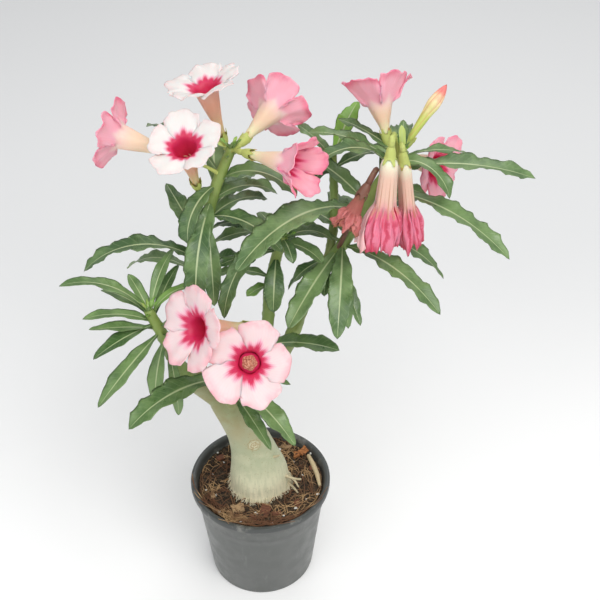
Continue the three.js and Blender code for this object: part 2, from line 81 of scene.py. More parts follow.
def finished(piece, kind, **settings):
    """Adds a modifier to a piece and applies it."""
    chosen(piece)
    change = piece.modifiers.new(kind.lower(), kind)
    for key, value in settings.items():
        setattr(change, key, value)
    bpy.ops.object.modifier_apply(modifier=change.name)


def turned(name, profile, sides):
    """A round wall, ring by ring along (radius, height) in millimetres, closed at both ends."""
    bpy.ops.object.select_all(action="DESELECT")
    radius, height = profile[0]
    bpy.ops.mesh.primitive_circle_add(
        vertices=sides, radius=radius * MM, fill_type="NGON", location=(0, 0, height * MM))
    wall = named(name)
    bpy.ops.object.mode_set(mode="EDIT")
    bpy.ops.mesh.select_all(action="SELECT")
    bpy.ops.mesh.duplicate()
    for (near, low), (far, high) in zip(profile, profile[1:]):
        bpy.ops.mesh.extrude_region_move(
            TRANSFORM_OT_translate={"value": (0, 0, (high - low) * MM)})
        bpy.ops.transform.resize(
            value=(far / near, far / near, 1), center_override=(0, 0, high * MM))
    bpy.ops.mesh.select_all(action="SELECT")
    bpy.ops.mesh.remove_doubles(threshold=1e-6)
    bpy.ops.mesh.normals_make_consistent(inside=False)
    bpy.ops.object.mode_set(mode="OBJECT")
    bpy.ops.object.transform_apply(location=True, rotation=True, scale=True)
    return wall


def node(tree, kind, inputs=None, **settings):
    """One shader node: its settings, then its inputs, each a value or another node's output."""
    made = tree.nodes.new("ShaderNode" + kind)
    for key, value in settings.items():
        setattr(made, key, value)
    for key, value in (inputs or {}).items():
        if isinstance(value, bpy.types.NodeSocket):
            tree.links.new(value, made.inputs[key])
        else:
            made.inputs[key].default_value = value
    return made


def maths(operation, first, second=0.0, third=0.0):
    """One step of reckoning on another node's output."""
    return node(first.id_data, "Math", {0: first, 1: second, 2: third},
                operation=operation).outputs[0]


def times(first, second):
    return maths("MULTIPLY", first, second)


def ranged(value, low, high, to_low=0.0, to_high=1.0):
    """A value's stretch from low to high, turned smoothly into to_low to to_high."""
    return node(value.id_data, "MapRange", {"Value": value, "From Min": low, "From Max": high,
                "To Min": to_low, "To Max": to_high}, interpolation_type="SMOOTHSTEP").outputs[0]


def mixed(share, first, second):
    """The first colour, and the second one over it as far as the share goes."""
    return node(share.id_data, "Mix", {0: share, 6: first, 7: second}, data_type="RGBA").outputs[2]


def speckle(where, scale, detail=4.0, rough=0.55):
    """Cloudy noise, as a value."""
    return node(where.id_data, "TexNoise", {"Vector": where, "Scale": scale, "Detail": detail,
                "Roughness": rough}).outputs["Fac"]


def stretched(where, scale, turn=0.0):
    """Places scaled, and turned about the height, for a pattern that runs one way."""
    return node(where.id_data, "Mapping", {"Vector": where, "Rotation": (0, 0, turn),
                "Scale": scale}).outputs[0]


def parts_of(where):
    return node(where.id_data, "SeparateXYZ", {0: where}).outputs


def finish_of(name):
    """A new material, with its shader and the place of each point in the piece."""
    material = bpy.data.materials.new(name)
    material.use_nodes = True
    nodes = material.node_tree.nodes
    return material, nodes["Principled BSDF"], nodes.new("ShaderNodeTexCoord").outputs["Object"]


def coat(shader, colour, roughness, relief, strength, depth):
    """Gives a shader its colour, its roughness (a number or a map) and its relief."""
    links = colour.id_data.links
    links.new(colour, shader.inputs["Base Color"])
    if isinstance(roughness, float):
        shader.inputs["Roughness"].default_value = roughness
    else:
        links.new(roughness, shader.inputs["Roughness"])
    bump = node(colour.id_data, "Bump",
                {"Height": relief, "Strength": strength, "Distance": depth})
    links.new(bump.outputs["Normal"], shader.inputs["Normal"])


def dress(piece, slot, material, *replaced):
    """Gives a piece its finish and its ride, and hides the solids that it stands for; its slot is
    not used.
    """
    piece.data.materials.clear()
    piece.data.materials.append(material)
    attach(piece, "root")
    if replaced:
        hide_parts(*replaced)


pot = turned("pot_moulded", POT_PROFILE, POT_SIDES)
for hole in range(DRAIN_HOLES):
    turn = math.tau * (hole + 0.5) / DRAIN_HOLES
    bpy.ops.mesh.primitive_cylinder_add(
        vertices=24, radius=DRAIN_RADIUS * MM, depth=12 * MM,
        location=(DRAIN_CIRCLE * MM * math.cos(turn), DRAIN_CIRCLE * MM * math.sin(turn), 0))
    punch = bpy.context.object
    finished(pot, "BOOLEAN", object=punch, operation="DIFFERENCE", solver="EXACT")
    bpy.data.objects.remove(punch)
bpy.ops.object.shade_smooth_by_angle(angle=math.radians(40))

plastic, shader, place = finish_of("moulded_plastic")
height = parts_of(place)["Z"]
scuffs = ranged(speckle(stretched(place, STREAKED), 260, 6, 0.7), 0.56, 0.7)
lime = times(ranged(height, 0.058, 0.084), ranged(speckle(place, 75, 5, 0.65), 0.52, 0.68))
# The scuffs are real wear; the band round the lip is painted shade, darker than the lit wall below
# it.
scuffs_and_lip_shade = mixed(ranged(height, 0.0792, 0.0802), mixed(times(scuffs, 0.3), PLASTIC, PLASTIC_WORN),
             PLASTIC_LIP_SHADE)
coat(shader, mixed(times(lime, 0.35), scuffs_and_lip_shade, LIME_BLOOM),
     ranged(speckle(place, 90), 0.3, 0.7, 0.3, 0.46), speckle(place, 1400, 3), 0.12, 0.0003)
dress(pot, "pot_plastic", plastic, "pot")

# Soil
# Coir and peat, loose and lumpy, filled to a finger's breadth under the lip and banked up at the
# front. Perlite grains, bark chips, a straw and many coir fibres lie on it.
SOIL_FOOT = 4.6
SOIL_SIDES = 220
SOIL_RINGS = 42
SOIL_EDGE = 44.75
SOIL_CORE = 14
SOIL_LEVEL = 77
SOIL_DARK = (0.014, 0.009, 0.005, 1)
SOIL_BROWN = (0.105, 0.062, 0.032, 1)
SOIL_TAN = (0.34, 0.23, 0.12, 1)
CRUMBS = 620
PERLITE = [
    (-27.5, 18), (-35, 8), (13.5, 31.3), (36.5, 27), (41, -13), (-12.5, -38.8), (-28.3, -29.8),
    (-32.8, 29), (25.6, -25), (9, -41), (33, -18), (-39, -8), (-22, 34), (4, 38), (30, 6),
    (-31, -12), (17, -33), (-2, -31), (24, 20), (-17, 28),
]
# Bark chips: middle, size, turns about the three axes in degrees, and colour
CHIPS = [
    ((32, 30, 80.4), (11, 6, 1.6), (14, -10, 40), "orange"),
    ((26, 26, 80), (7, 5, 1.4), (-20, 8, 95), "orange"),
    ((-15, -27, 80.2), (10, 7.5, 1.8), (12, 6, 20), "tan"),
    ((4, -29, 80), (11, 8, 2), (8, -8, 70), "red"),
    ((12, -31, 79.8), (8, 5, 1.6), (-12, 16, 20), "red"),
    ((-3, -34, 79.6), (7, 5, 1.5), (14, 0, 130), "red"),
    ((27, -21, 79.6), (8, 5, 1.5), (18, 12, 60), "red"),
    ((-34, -14, 79.8), (7, 4, 1.5), (10, 20, 110), "tan"),
    ((-30, 23, 79.6), (8, 6, 1.5), (-14, 8, 30), "red"),
    ((18, 34, 79.8), (8, 5, 1.5), (9, 12, 150), "tan"),
    ((-8, 35, 79.6), (7, 5, 1.4), (14, -8, 80), "red"),
    ((38, 12, 79.8), (6, 4, 1.4), (8, 22, 10), "red"),
]
# A fixed start for the noise that roughens the chips, so that every run gives the same ones
CHIP_SEED = 3
CHIP_COLOURS = {
    "orange": (0.42, 0.16, 0.05, 1), "tan": (0.42, 0.27, 0.14, 1), "red": (0.19, 0.07, 0.035, 1),
}
STRAW = [((34.6, 24, 80.6), 1.5), ((38, 14.5, 81.2), 1.9), ((41, 4.5, 81), 1.8),
         ((42.6, -5.5, 80.2), 1.1)]
SHORT_FIBRES = 300
RIM_FIBRES = 80
LIP_FIBRES = 9
FIBRE_REACH = 43.6
OVER_THE_LIP = [(42, 83.4), (44.4, 84.6), (46, 85.5), (47.8, 85.5), (49.2, 85.3)]


def soil_height(x, y):
    """How high the loose soil stands at a place, in millimetres."""
    far = math.hypot(x, y)
    bank = 2.6 * max(0.0, -y / 45) ** 2 * max(0.0, far / 45) + 1.4
    spot = Vector((x, y, 3))
    lumps = 1.7 * noise.noise(spot * 0.19) + 1.2 * noise.noise(spot * 0.47)
    crumb = 0.8 * noise.noise(spot * 1.1) + 0.4 * noise.noise(spot * 2.3)
    return SOIL_LEVEL + bank + lumps + crumb


def placed(name, data):
    made = bpy.data.objects.new(name, data)
    bpy.context.scene.collection.objects.link(made)
    return made


def gathered(name, builder):
    """A new mesh object filled in by a bmesh builder."""
    data = bpy.data.meshes.new(name)
    shape = bmesh.new()
    builder(shape)
    shape.to_mesh(data)
    shape.free()
    return placed(name, data)


def rods(name, lines, sides=6):
    """Round rods along lines of (point, radius) in millimetres, as one closed mesh each."""
    data = bpy.data.curves.new(name, "CURVE")
    data.dimensions = "3D"
    data.bevel_depth = MM
    data.bevel_resolution = max(0, (sides - 4) // 2)
    data.use_fill_caps = True
    for line in lines:
        spline = data.splines.new("POLY")
        spline.points.add(len(line) - 1)
        for point, (place, radius) in zip(spline.points, line):
            point.co = (*(Vector(place) * MM), 1)
            point.radius = radius
    chosen(placed(name, data))
    bpy.ops.object.convert(target="MESH")
    bpy.ops.object.shade_smooth()
    return named(name)


step = (SOIL_EDGE - SOIL_CORE) / SOIL_RINGS
top_rings = [(SOIL_EDGE - step * ring, SOIL_LEVEL) for ring in range(SOIL_RINGS + 1)]
soil = turned("soil_coir", [(35.5, SOIL_FOOT), (SOIL_EDGE - 0.6, SOIL_LEVEL - 6), *top_rings],
              SOIL_SIDES)
for corner in soil.data.vertices:
    x, y, z = corner.co / MM
    if z > SOIL_LEVEL - 1:
        corner.co.z = soil_height(x, y) * MM
bpy.ops.object.shade_smooth()
earth, shader, place = finish_of("coir_and_peat")
dark = mixed(ranged(speckle(place, 420, 6, 0.7), 0.42, 0.62), SOIL_DARK, SOIL_BROWN)
bits = ranged(speckle(place, 1500, 3, 0.7), 0.6, 0.68)
coat(shader, mixed(bits, dark, SOIL_TAN), 0.92, speckle(place, 1800, 6, 0.75), 0.9, 0.0007)
dress(soil, "soil", earth, "soil")

grit = random.Random(71)


def on_soil(inner=17.0, outer=43.0):
    """A random place on the open ring of soil round the trunk."""
    far = math.sqrt(grit.uniform(inner ** 2, outer ** 2))
    turn = grit.uniform(0, math.tau)
    return far * math.cos(turn), far * math.sin(turn)


def lump(shape, x, y, size, detail, sink=0.15):
    """An uneven grain that lies on the soil."""
    spin = Matrix.Rotation(grit.uniform(0, 6.28), 4, Vector((grit.random(), grit.random(), 1)))
    scale = Matrix.Diagonal((size * grit.uniform(0.8, 1.5), size, size * grit.uniform(0.5, 0.9), 1))
    where = Matrix.Translation(Vector((x, y, soil_height(x, y) + size * (0.5 - sink))) * MM)
    made = bmesh.ops.create_icosphere(
        shape, subdivisions=detail, radius=MM, matrix=where @ spin @ scale)
    for corner in made["verts"]:
        shift = noise.noise(corner.co / MM * (1.7 / size))
        corner.co += (corner.co - where.translation) * 0.35 * shift


def crumbs_of(shape):
    for _ in range(CRUMBS):
        x, y = on_soil()
        lump(shape, x, y, grit.uniform(0.45, 1.25), 1)


def perlite_of(shape):
    for x, y in PERLITE:
        lump(shape, x, y, grit.uniform(0.65, 1.15), 3, 0.0)


dress(gathered("soil_crumbs", crumbs_of), "soil", earth)
perlite = gathered("soil_perlite", perlite_of)
white, shader, place = finish_of("perlite_grain")
coat(shader, mixed(speckle(place, 1600), (0.62, 0.6, 0.55, 1), (0.9, 0.9, 0.87, 1)), 0.8,
     speckle(place, 3000), 0.6, 0.0003)
dress(perlite, "soil", white)

noise.seed_set(CHIP_SEED)
for count, (middle, size, turns, hue) in enumerate(CHIPS):
    bpy.ops.object.select_all(action="DESELECT")
    bpy.ops.mesh.primitive_cube_add(size=MM, location=[value * MM for value in middle],
                                    rotation=[math.radians(turn) for turn in turns])
    chip = named(f"bark_chip_{count + 1}")
    chip.scale = size
    bpy.ops.object.transform_apply(location=True, rotation=True, scale=True)
    bpy.ops.object.mode_set(mode="EDIT")
    bpy.ops.mesh.select_all(action="SELECT")
    bpy.ops.mesh.subdivide(number_cuts=7)
    bpy.ops.object.mode_set(mode="OBJECT")
    middle = Vector(middle) * MM
    for corner in chip.data.vertices:
        spot = corner.co / MM
        corner.co += (corner.co - middle) * (0.3 * noise.noise(spot * 0.33) - 0.12)
        corner.co += 0.45 * MM * noise.noise_vector(spot * 0.8)
    bpy.ops.object.shade_smooth_by_angle(angle=math.radians(50))
    wood, shader, place = finish_of(f"pine_bark_{count + 1}")
    grain = stretched(place, (1, 4, 4))
    shade = tuple(0.4 * value for value in CHIP_COLOURS[hue][:3]) + (1,)
    hue = mixed(ranged(speckle(grain, 300, 5, 0.65), 0.35, 0.62), shade, CHIP_COLOURS[hue])
    coat(shader, hue, 0.85, speckle(grain, 600, 5), 0.7, 0.0004)
    dress(chip, "soil", wood)


def fibre(x, y, length, turn, curl, lift):
    """A bent coir fibre that lies over the crumbs."""
    line = []
    steps = 9
    for k in range(steps + 1):
        arch = math.sin(math.pi * k / steps)
        line.append(((x, y, soil_height(x, y) + 0.5 + lift * arch), 0.19 + 0.08 * arch))
        x += length / steps * math.cos(turn)
        y += length / steps * math.sin(turn)
        turn += curl / steps
        far = math.hypot(x, y)
        if far > FIBRE_REACH:
            x, y = FIBRE_REACH / far * x, FIBRE_REACH / far * y
    return line


lines = []
for _ in range(SHORT_FIBRES):
    x, y = on_soil()
    lines.append(fibre(x, y, grit.uniform(5, 17), grit.uniform(0, 6.28), grit.uniform(-2.6, 2.6),
                       grit.uniform(0.2, 2.2)))
for _ in range(RIM_FIBRES):
    turn = math.radians(grit.uniform(185, 345))
    far = grit.uniform(37, 43)
    lines.append(fibre(far * math.cos(turn), far * math.sin(turn), grit.uniform(14, 34),
                       turn + math.pi / 2 * grit.choice((-1, 1)) + grit.uniform(-0.6, 0.6),
                       grit.uniform(-1.2, 1.2), grit.uniform(0.3, 2.6)))
for _ in range(LIP_FIBRES):
    turn, swing = math.radians(grit.uniform(225, 305)), math.radians(grit.uniform(-16, 16))
    lines.append([
        ((far * math.cos(turn + swing * k), far * math.sin(turn + swing * k), height), 0.22)
        for k, (far, height) in enumerate(OVER_THE_LIP)])
fibres = rods("coir_fibres", lines, 4)
coir, shader, place = finish_of("coir_fibre")
coat(shader, mixed(ranged(speckle(place, 60, 2), 0.4, 0.6), (0.16, 0.07, 0.032, 1),
                   (0.46, 0.29, 0.14, 1)), 0.75, speckle(place, 4000, 2), 0.4, 0.0002)
dress(fibres, "soil", coir)

straw = rods("straw_piece", [STRAW], 10)
dry, shader, place = finish_of("dry_straw")
ribs = stretched(place, (9, 1, 9), 0.28)
coat(shader, mixed(speckle(ribs, 220, 4), (0.34, 0.24, 0.12, 1), (0.72, 0.6, 0.38, 1)), 0.6,
     speckle(ribs, 500, 3), 0.5, 0.0003)
dress(straw, "soil", dry)

# Trunk
# The swollen water-storing stem, smooth grey-green bark that turns creamy where it meets the soil.
# It leans to the left and forks, with a knobby scar at its front and a few short dry roots.
TRUNK = [
    [0, 42, 9, 0], [0, 50, 15, 0], [0, 62, 19.5, 0], [-0.5, 74, 20.8, 0], [-1, 84, 20.6, 0],
    [-1.5, 94, 19.8, 0], [-2.5, 104, 17.6, 2], [-4.5, 114, 15.4, 6], [-7, 124, 13.8, 12],
    [-10.5, 134, 12.4, 20], [-15.5, 143.5, 11, 30], [-22, 152, 8.8, 38], [-28, 159, 6, 42],
]
TRUNK_SIDES = 72
TRUNK_LEVELS = 90
TRUNK_VOXEL = 0.9
SCAR = Vector((-3, -12.5, 128))
SCAR_RADIUS = 5
FLECK = Vector((-7, -18, 110))
ROOTLETS = [
    [((16, -5.5, 91.6), 1.5), ((20, -7, 91.6), 1.1), ((24, -9, 91), 0.95), ((29, -11, 93), 0.8)],
    [((24, -9, 91), 0.9), ((26, -10.6, 88.4), 0.8), ((27.4, -12, 86), 0.5)],
    [((17.4, -4, 84.6), 1.4), ((21, -5.6, 82.4), 1.1), ((24, -7, 80), 0.9), ((27, -10, 77.6), 0.6)],
    [((9, -7.4, 112), 1.2), ((11.6, -9, 113.4), 1), ((14, -10, 116), 0.7)],
]
BARK_GREY = (0.41, 0.44, 0.28, 1)
BARK_TAN = (0.36, 0.31, 0.16, 1)
BARK_CREAM = (0.82, 0.77, 0.55, 1)
BARK_GREEN = (0.2, 0.245, 0.075, 1)
BARK_BROWN = (0.27, 0.175, 0.075, 1)
SCAR_TAN = (0.34, 0.22, 0.08, 1)
ROOT_HAIRS = 420
# How far down the bark the green of the shoots runs, in millimetres
GREEN_REACH = 26
STEMS = {
    "left": {"woody": 0.46, "radii": (7.5, 3), "path": [
        (-12, 0, 146), (-31, 0, 164), (-43, -3, 179), (-51, -9, 200), (-58, -12, 226),
        (-65, -13, 246)]},
    "upper_left": {"woody": 0.2, "radii": (6, 3), "path": [
        (-35, 1, 165), (-41, 11, 190), (-40, 16, 222), (-34, 17, 265), (-24, 20, 309),
        (-12, 25, 338)]},
    "centre": {"woody": 0.3, "radii": (5, 3.2), "path": [
        (-14, 2, 145), (-5, 11, 171), (6, 17, 204), (9, 20, 238), (13, 20, 261), (18, 18, 280)]},
    "right": {"woody": 0.22, "radii": (5.4, 3.2), "path": [
        (-8, 4, 140), (6, 14, 164), (21, 21, 193), (32, 25, 225), (46, 26, 252), (60, 29, 275),
        (74, 31, 305), (91, 34, 332)]},
    "back": {"woody": 0, "radii": (3.2, 2.4), "path": [
        (46, 26, 252), (50, 40, 276), (49, 56, 316)]},
    "low": {"woody": 0.3, "radii": (4, 3), "path": [
        (-18, 0, 150), (-18, -9, 172), (-17, -21, 202)]},
}


def eased(rows, level):
    """A row between the rows of a table, on a smooth line through them."""
    near = min(int(level), len(rows) - 2)
    t = level - near
    before, start, end, after = (
        rows[max(0, min(len(rows) - 1, near + shift))] for shift in (-1, 0, 1, 2))
    return [
        0.5 * (2 * b + (c - a) * t + (2 * a - 5 * b + 4 * c - d) * t * t
               + (3 * b - a - 3 * c + d) * t ** 3)
        for a, b, c, d in zip(before, start, end, after)]


def sheet(name, columns, rows, place, weld=True):
    """A fine grid, its corners at place(u, v) in millimetres. Its seams and ends are welded."""
    bpy.ops.object.select_all(action="DESELECT")
    bpy.ops.mesh.primitive_grid_add(
        x_subdivisions=columns, y_subdivisions=rows, size=1, calc_uvs=True)
    made = named(name)
    for corner in made.data.vertices:
        corner.co = place(corner.co.x + 0.5, corner.co.y + 0.5) * MM
    if weld:
        bpy.ops.object.mode_set(mode="EDIT")
        bpy.ops.mesh.select_all(action="SELECT")
        bpy.ops.mesh.remove_doubles(threshold=1e-5)
        bpy.ops.mesh.fill_holes(sides=0)
        bpy.ops.mesh.normals_make_consistent(inside=False)
        bpy.ops.object.mode_set(mode="OBJECT")
    bpy.ops.object.shade_smooth()
    return made


def joined(name, parts):
    bpy.ops.object.select_all(action="DESELECT")
    for part in parts:
        part.select_set(True)
    bpy.context.view_layer.objects.active = parts[0]
    bpy.ops.object.join()
    return named(name)


def painted(piece, name, values):
    """Marks each corner of a piece with a value, for its material."""
    piece.data.attributes.new(name, "FLOAT", "POINT").data.foreach_set("value", values)


def mark_of(place, name):
    return node(place.id_data, "Attribute", attribute_name=name).outputs["Fac"]


def far_from(place, spot):
    """How far each point is from a spot, in metres."""
    return node(place.id_data, "VectorMath", {0: place, 1: spot * MM},
                operation="DISTANCE").outputs["Value"]


def spots(place, scale, small, large):
    """Small round marks, scattered evenly."""
    cells = node(place.id_data, "TexVoronoi", {"Vector": place, "Scale": scale})
    return ranged(cells.outputs["Distance"], small, large, 1, 0)


def spoke(side, other, angle):
    """The direction at an angle from one side towards the other."""
    return side * math.cos(angle) + other * math.sin(angle)


def growth(path):
    """A stem's path as even steps of (length so far, point), on a centripetal curve."""
    points = [Vector(p) for p in path]
    points = [2 * points[0] - points[1], *points, 2 * points[-1] - points[-2]]
    line = [(0.0, points[1])]
    for p0, p1, p2, p3 in zip(points, points[1:], points[2:], points[3:]):
        d0, d1, d2 = (math.sqrt((b - a).length) for a, b in ((p0, p1), (p1, p2), (p2, p3)))
        t1 = ((p1 - p0) / d0 - (p2 - p0) / (d0 + d1) + (p2 - p1) / d1) * d1
        t2 = ((p2 - p1) / d1 - (p3 - p1) / (d1 + d2) + (p3 - p2) / d2) * d1
        for k in range(1, 41):
            t = k / 40
            spot = (p1 + t1 * t + (3 * (p2 - p1) - 2 * t1 - t2) * t * t
                    + (2 * (p1 - p2) + t1 + t2) * t ** 3)
            line.append((line[-1][0] + (spot - line[-1][1]).length, spot))
    return line


def along(line, share):
    """The point and the direction at a share of a stem's length."""
    length = share * line[-1][0]
    for (a, p), (b, q) in zip(line, line[1:]):
        if b >= length:
            return p.lerp(q, (length - a) / (b - a)), (q - p).normalized()
    return line[-1][1], (line[-1][1] - line[-2][1]).normalized()


def tube(name, line, start, end, first, last, sides, steps, knots=0.0):
    """A round stem along a stretch of its line, with a few low knots where old leaves fell."""
    def place(u, v):
        spot, ahead = along(line, start + (end - start) * v)
        side = Vector((0, 1, 0.1))
        side = (side - ahead * side.dot(ahead)).normalized()
        radius = first + (last - first) * v
        way = spoke(side, ahead.cross(side), math.tau * u)
        radius *= 1 + knots * max(0.0, noise.noise((spot + way * radius) * 0.42))
        return spot + way * radius
    return sheet(name, sides, steps, place)


def trunk_place(u, v):
    level = v * (len(TRUNK) - 1)
    x, z, radius, tilt = eased(TRUNK, level)
    angle = math.tau * u
    swell = 1 + 0.03 * math.sin(3 * angle + level * 0.4) + 0.02 * math.cos(2 * angle)
    outward = radius * swell * math.cos(angle)
    tilt = math.radians(tilt)
    return Vector((x + outward * math.cos(tilt), radius * swell * math.sin(angle),
                   z + outward * math.sin(tilt)))


LINES = {key: growth(stem["path"]) for key, stem in STEMS.items()}
woody = {key: stem for key, stem in STEMS.items() if stem["woody"]}
limbs = [sheet("trunk_body", TRUNK_SIDES, TRUNK_LEVELS, trunk_place)]
for key, stem in woody.items():
    thick, thin = stem["radii"]
    limbs.append(tube("limb", LINES[key], 0, stem["woody"], thick,
                      thick + (thin - thick) * stem["woody"], 24, 24))
trunk = joined("trunk_bark", limbs)
finished(trunk, "REMESH", mode="VOXEL", voxel_size=TRUNK_VOXEL * MM)
finished(trunk, "SMOOTH", factor=0.6, iterations=7)
tops = [along(LINES[key], stem["woody"])[0] for key, stem in woody.items()]
greens, shifts = [], []
for corner, direction in zip(trunk.data.vertices, trunk.data.vertex_normals):
    spot = corner.co / MM
    greens.append(max(0.0, 1 - min((spot - top).length for top in tops) / GREEN_REACH))
    lift = 0.35 * noise.noise(spot * 0.09)
    lift += 0.1 * noise.noise(Vector((spot.x, spot.y, spot.z * 5)) * 0.3)
    away = (spot - SCAR).length
    lift += 0.75 * math.exp(-(away / SCAR_RADIUS) ** 2) * (0.7 + 0.9 * noise.noise(spot * 0.9))
    skirt = max(0.0, 1 - abs(spot.z - 80) / 7)
    lift += 0.5 * skirt * noise.noise(Vector((spot.x, spot.y, spot.z * 0.12)) * 0.85)
    shifts.append(Vector(direction.vector) * lift * MM)
painted(trunk, "green", greens)
for corner, shift in zip(trunk.data.vertices, shifts):
    corner.co += shift
bpy.ops.object.shade_smooth()

bark, shader, place = finish_of("smooth_bark")
height = parts_of(place)["Z"]
cloud = speckle(place, 120, 5, 0.6)
base = mixed(times(ranged(cloud, 0.42, 0.66), 0.22), BARK_GREY, BARK_CREAM)
tan = times(ranged(height, 0.112, 0.15), ranged(cloud, 0.3, 0.62, 0.35, 0.9))
base = mixed(tan, base, BARK_TAN)
foot = ranged(maths("ADD", height, times(cloud, 0.02)), 0.09, 0.125, 1, 0)
streaks = ranged(speckle(stretched(place, STREAKED), 600, 4), 0.35, 0.6, 0.55, 1)
base = mixed(times(foot, streaks), base, BARK_CREAM)
base = mixed(times(mark_of(place, "green"), 0.75), base, BARK_GREEN)
from_scar = far_from(place, SCAR)
warped = maths("MULTIPLY_ADD", from_scar, 3300, times(speckle(place, 420, 3, 0.6), 9))
rings = maths("MAXIMUM", ranged(maths("COSINE", warped), 0.35, 0.85),
              ranged(speckle(place, 620, 4, 0.7), 0.5, 0.58))
knobs = times(ranged(from_scar, 0.003, 0.0066, 1, 0), rings)
base = mixed(ranged(from_scar, 0.002, 0.005, 0.45, 0), base, BARK_CREAM)
base = mixed(times(knobs, 0.7), base, SCAR_TAN)
base = mixed(ranged(far_from(place, FLECK), 0.0008, 0.0022, 0.7, 0), base, (0.8, 0.78, 0.66, 1))
pores = spots(place, 520, 0.1, 0.22)
base = mixed(times(pores, 0.45), base, BARK_BROWN)
wrinkles = speckle(stretched(place, (1, 1, 6)), 210, 5, 0.6)
coat(shader, base, ranged(cloud, 0.3, 0.7, 0.42, 0.62),
     maths("ADD", wrinkles, times(pores, -0.25)), 0.45, 0.0005)
dress(trunk, "bark", bark, "trunk")

rootlets = rods("dry_rootlets", ROOTLETS, 10)
finished(rootlets, "SUBSURF", levels=1, render_levels=1)
root_skin, shader, place = finish_of("root_skin")
coat(shader, mixed(speckle(place, 500, 4), (0.34, 0.27, 0.15, 1), (0.66, 0.59, 0.4, 1)), 0.75,
     speckle(place, 1500, 4), 0.5, 0.0003)
dress(rootlets, "bark", root_skin)

strands = random.Random(29)
hairs = []
for _ in range(ROOT_HAIRS):
    start = trunk_place(strands.random(), strands.uniform(3.4, 3.95) / (len(TRUNK) - 1))
    outward = Vector((start.x + 0.8, start.y, 0)).normalized()
    aside = Vector((-outward.y, outward.x, 0)) * strands.uniform(-0.8, 0.8)
    down = Vector((0, 0, -1))
    hairs.append([(start, 0.24), (start + outward * 0.9 + down * 1.4 + aside * 0.4, 0.22),
                  (start + outward * 2 + down * 3.1 + aside, 0.18),
                  (start + outward * strands.uniform(2.4, 4.2) + down * 4.6 + aside * 2.4, 0.1)])
hairs = rods("root_hairs", hairs, 4)
felt, shader, place = finish_of("root_hair_felt")
coat(shader, mixed(speckle(place, 260, 3), (0.66, 0.58, 0.38, 1), (0.9, 0.86, 0.66, 1)), 0.9,
     speckle(place, 1500, 3), 0.3, 0.0002)
dress(hairs, "bark", felt)

# Green stems, stalks and calyces
# This year's growth: soft round stems that turn from olive bark to fresh green, marked where old
# leaves fell. Each bloom stands on a short stalk that ends in a cup of five pointed sepals.
GAP = 0.3
CALYX_RADIUS = 3.4
CALYX_LENGTH = 6
STALK_RADIUS = 1.5
STEM_OLIVE = (0.26, 0.27, 0.1, 1)
STEM_GREEN = (0.2, 0.29, 0.07, 1)
SEPAL_GREEN = (0.46, 0.52, 0.14, 1)
SEPAL_RED = (0.42, 0.11, 0.05, 1)
WITHERED = (0.17, 0.07, 0.045, 1)
# Blooms: the stem that each is on and the share of its length, the middle of its mouth, its turn,
# rise and spin in degrees, its seed, the lengths of its tube and its lobes, and what sets it apart
# from an open bloom. A lobe flares from the first angle at its foot to the second at its tip.
OPEN_BLOOM = {"waist": 3.1, "throat": 7.5, "flare": [50, 95], "ruffle": 1.6}
BLOOM_WORDS = ["on", "share", "mouth", "turn", "rise", "spin", "seed", "tube", "petal"]
BLOOM_ROWS = {
    "bloom_front": ["low", 0.98, (-1, -60, 244), -88, 38, 24, 3, 38, 20, {}],
    "bloom_front_left": ["low", 0.98, (-31, -48, 260), -140, 25, 66, 5, 38, 19, {}],
    "bloom_white": ["upper_left", 0.86, (-37, 2, 351), -105, 66, 0, 7, 34, 17, {}],
    "bloom_top": ["upper_left", 0.98, (-27, 42, 368), 180, 75, 0, 11, 32, 17, {}],
    "bloom_far_left": ["upper_left", 0.9, (-77, 26, 345), 168, 14, 0, 13, 33, 16,
                       {"flare": [42, 85]}],
    "bloom_back": ["upper_left", 0.99, (10, 60, 343), 63, 5, 0, 17, 32, 18, {"flare": [38, 75]}],
    "bloom_middle": ["upper_left", 0.99, (19.3, -2, 343.6), -36, 6, 30, 19, 24, 21,
                     {"throat": 6.5, "flare": [12, 56]}],
    "bloom_right": ["right", 0.99, (77, 54, 351), 112, 57, 0, 23, 18, 22, {"flare": [22, 76]}],
    "bloom_behind_leaves": ["right", 0.98, (114, 57, 307), -43, 8, 0, 29, 32, 15, {}],
    "bloom_hanging": ["right", 0.97, (78, -2, 314), -120, -84, 0, 31, 32, 27,
                      {"waist": 5.2, "throat": 6.4, "flare": [28, 0], "ruffle": 2.4}],
    "bloom_hanging_right": ["right", 0.98, (93, 12, 304), -20, -82, 0, 37, 32, 25,
                            {"waist": 4.4, "throat": 5, "flare": [20, 0], "ruffle": 2}],
    "bloom_dead": ["right", 0.62, (59, -3, 311), -150, -58, 0, 41, 13, 13,
                   {"throat": 5, "flare": [25, -10], "ruffle": 2}],
}
BLOOMS = {name: {**OPEN_BLOOM, **dict(zip(BLOOM_WORDS, row)), **row[-1]}
          for name, row in BLOOM_ROWS.items()}
BUD = {
    "on": "right", "share": 1, "mouth": (117, 60, 362), "turn": 34, "rise": 48, "spin": 0,
    "tube": 40, "waist": 0,
}
# How old the green parts are, from withered through woody to the tender sepals
WITHERED_AGE = -1
STALK_AGE = 1.35
CUP_AGE = 1.6


def heading(turn, rise):
    """A unit vector from a compass turn (0 is +X, 90 is +Y) and a rise over level, in degrees."""
    turn, rise = math.radians(turn), math.radians(rise)
    level = math.cos(rise)
    return Vector((level * math.cos(turn), level * math.sin(turn), math.sin(rise)))


def bloom_frame(bloom):
    """The base of a bloom, its axis and two directions across it."""
    axis = heading(bloom["turn"], bloom["rise"])
    turn = math.radians(bloom["turn"])
    across = Vector((-math.sin(turn), math.cos(turn), 0))
    across.rotate(Quaternion(axis, math.radians(bloom["spin"])))
    return Vector(bloom["mouth"]) - axis * bloom["tube"], axis, across, axis.cross(across)


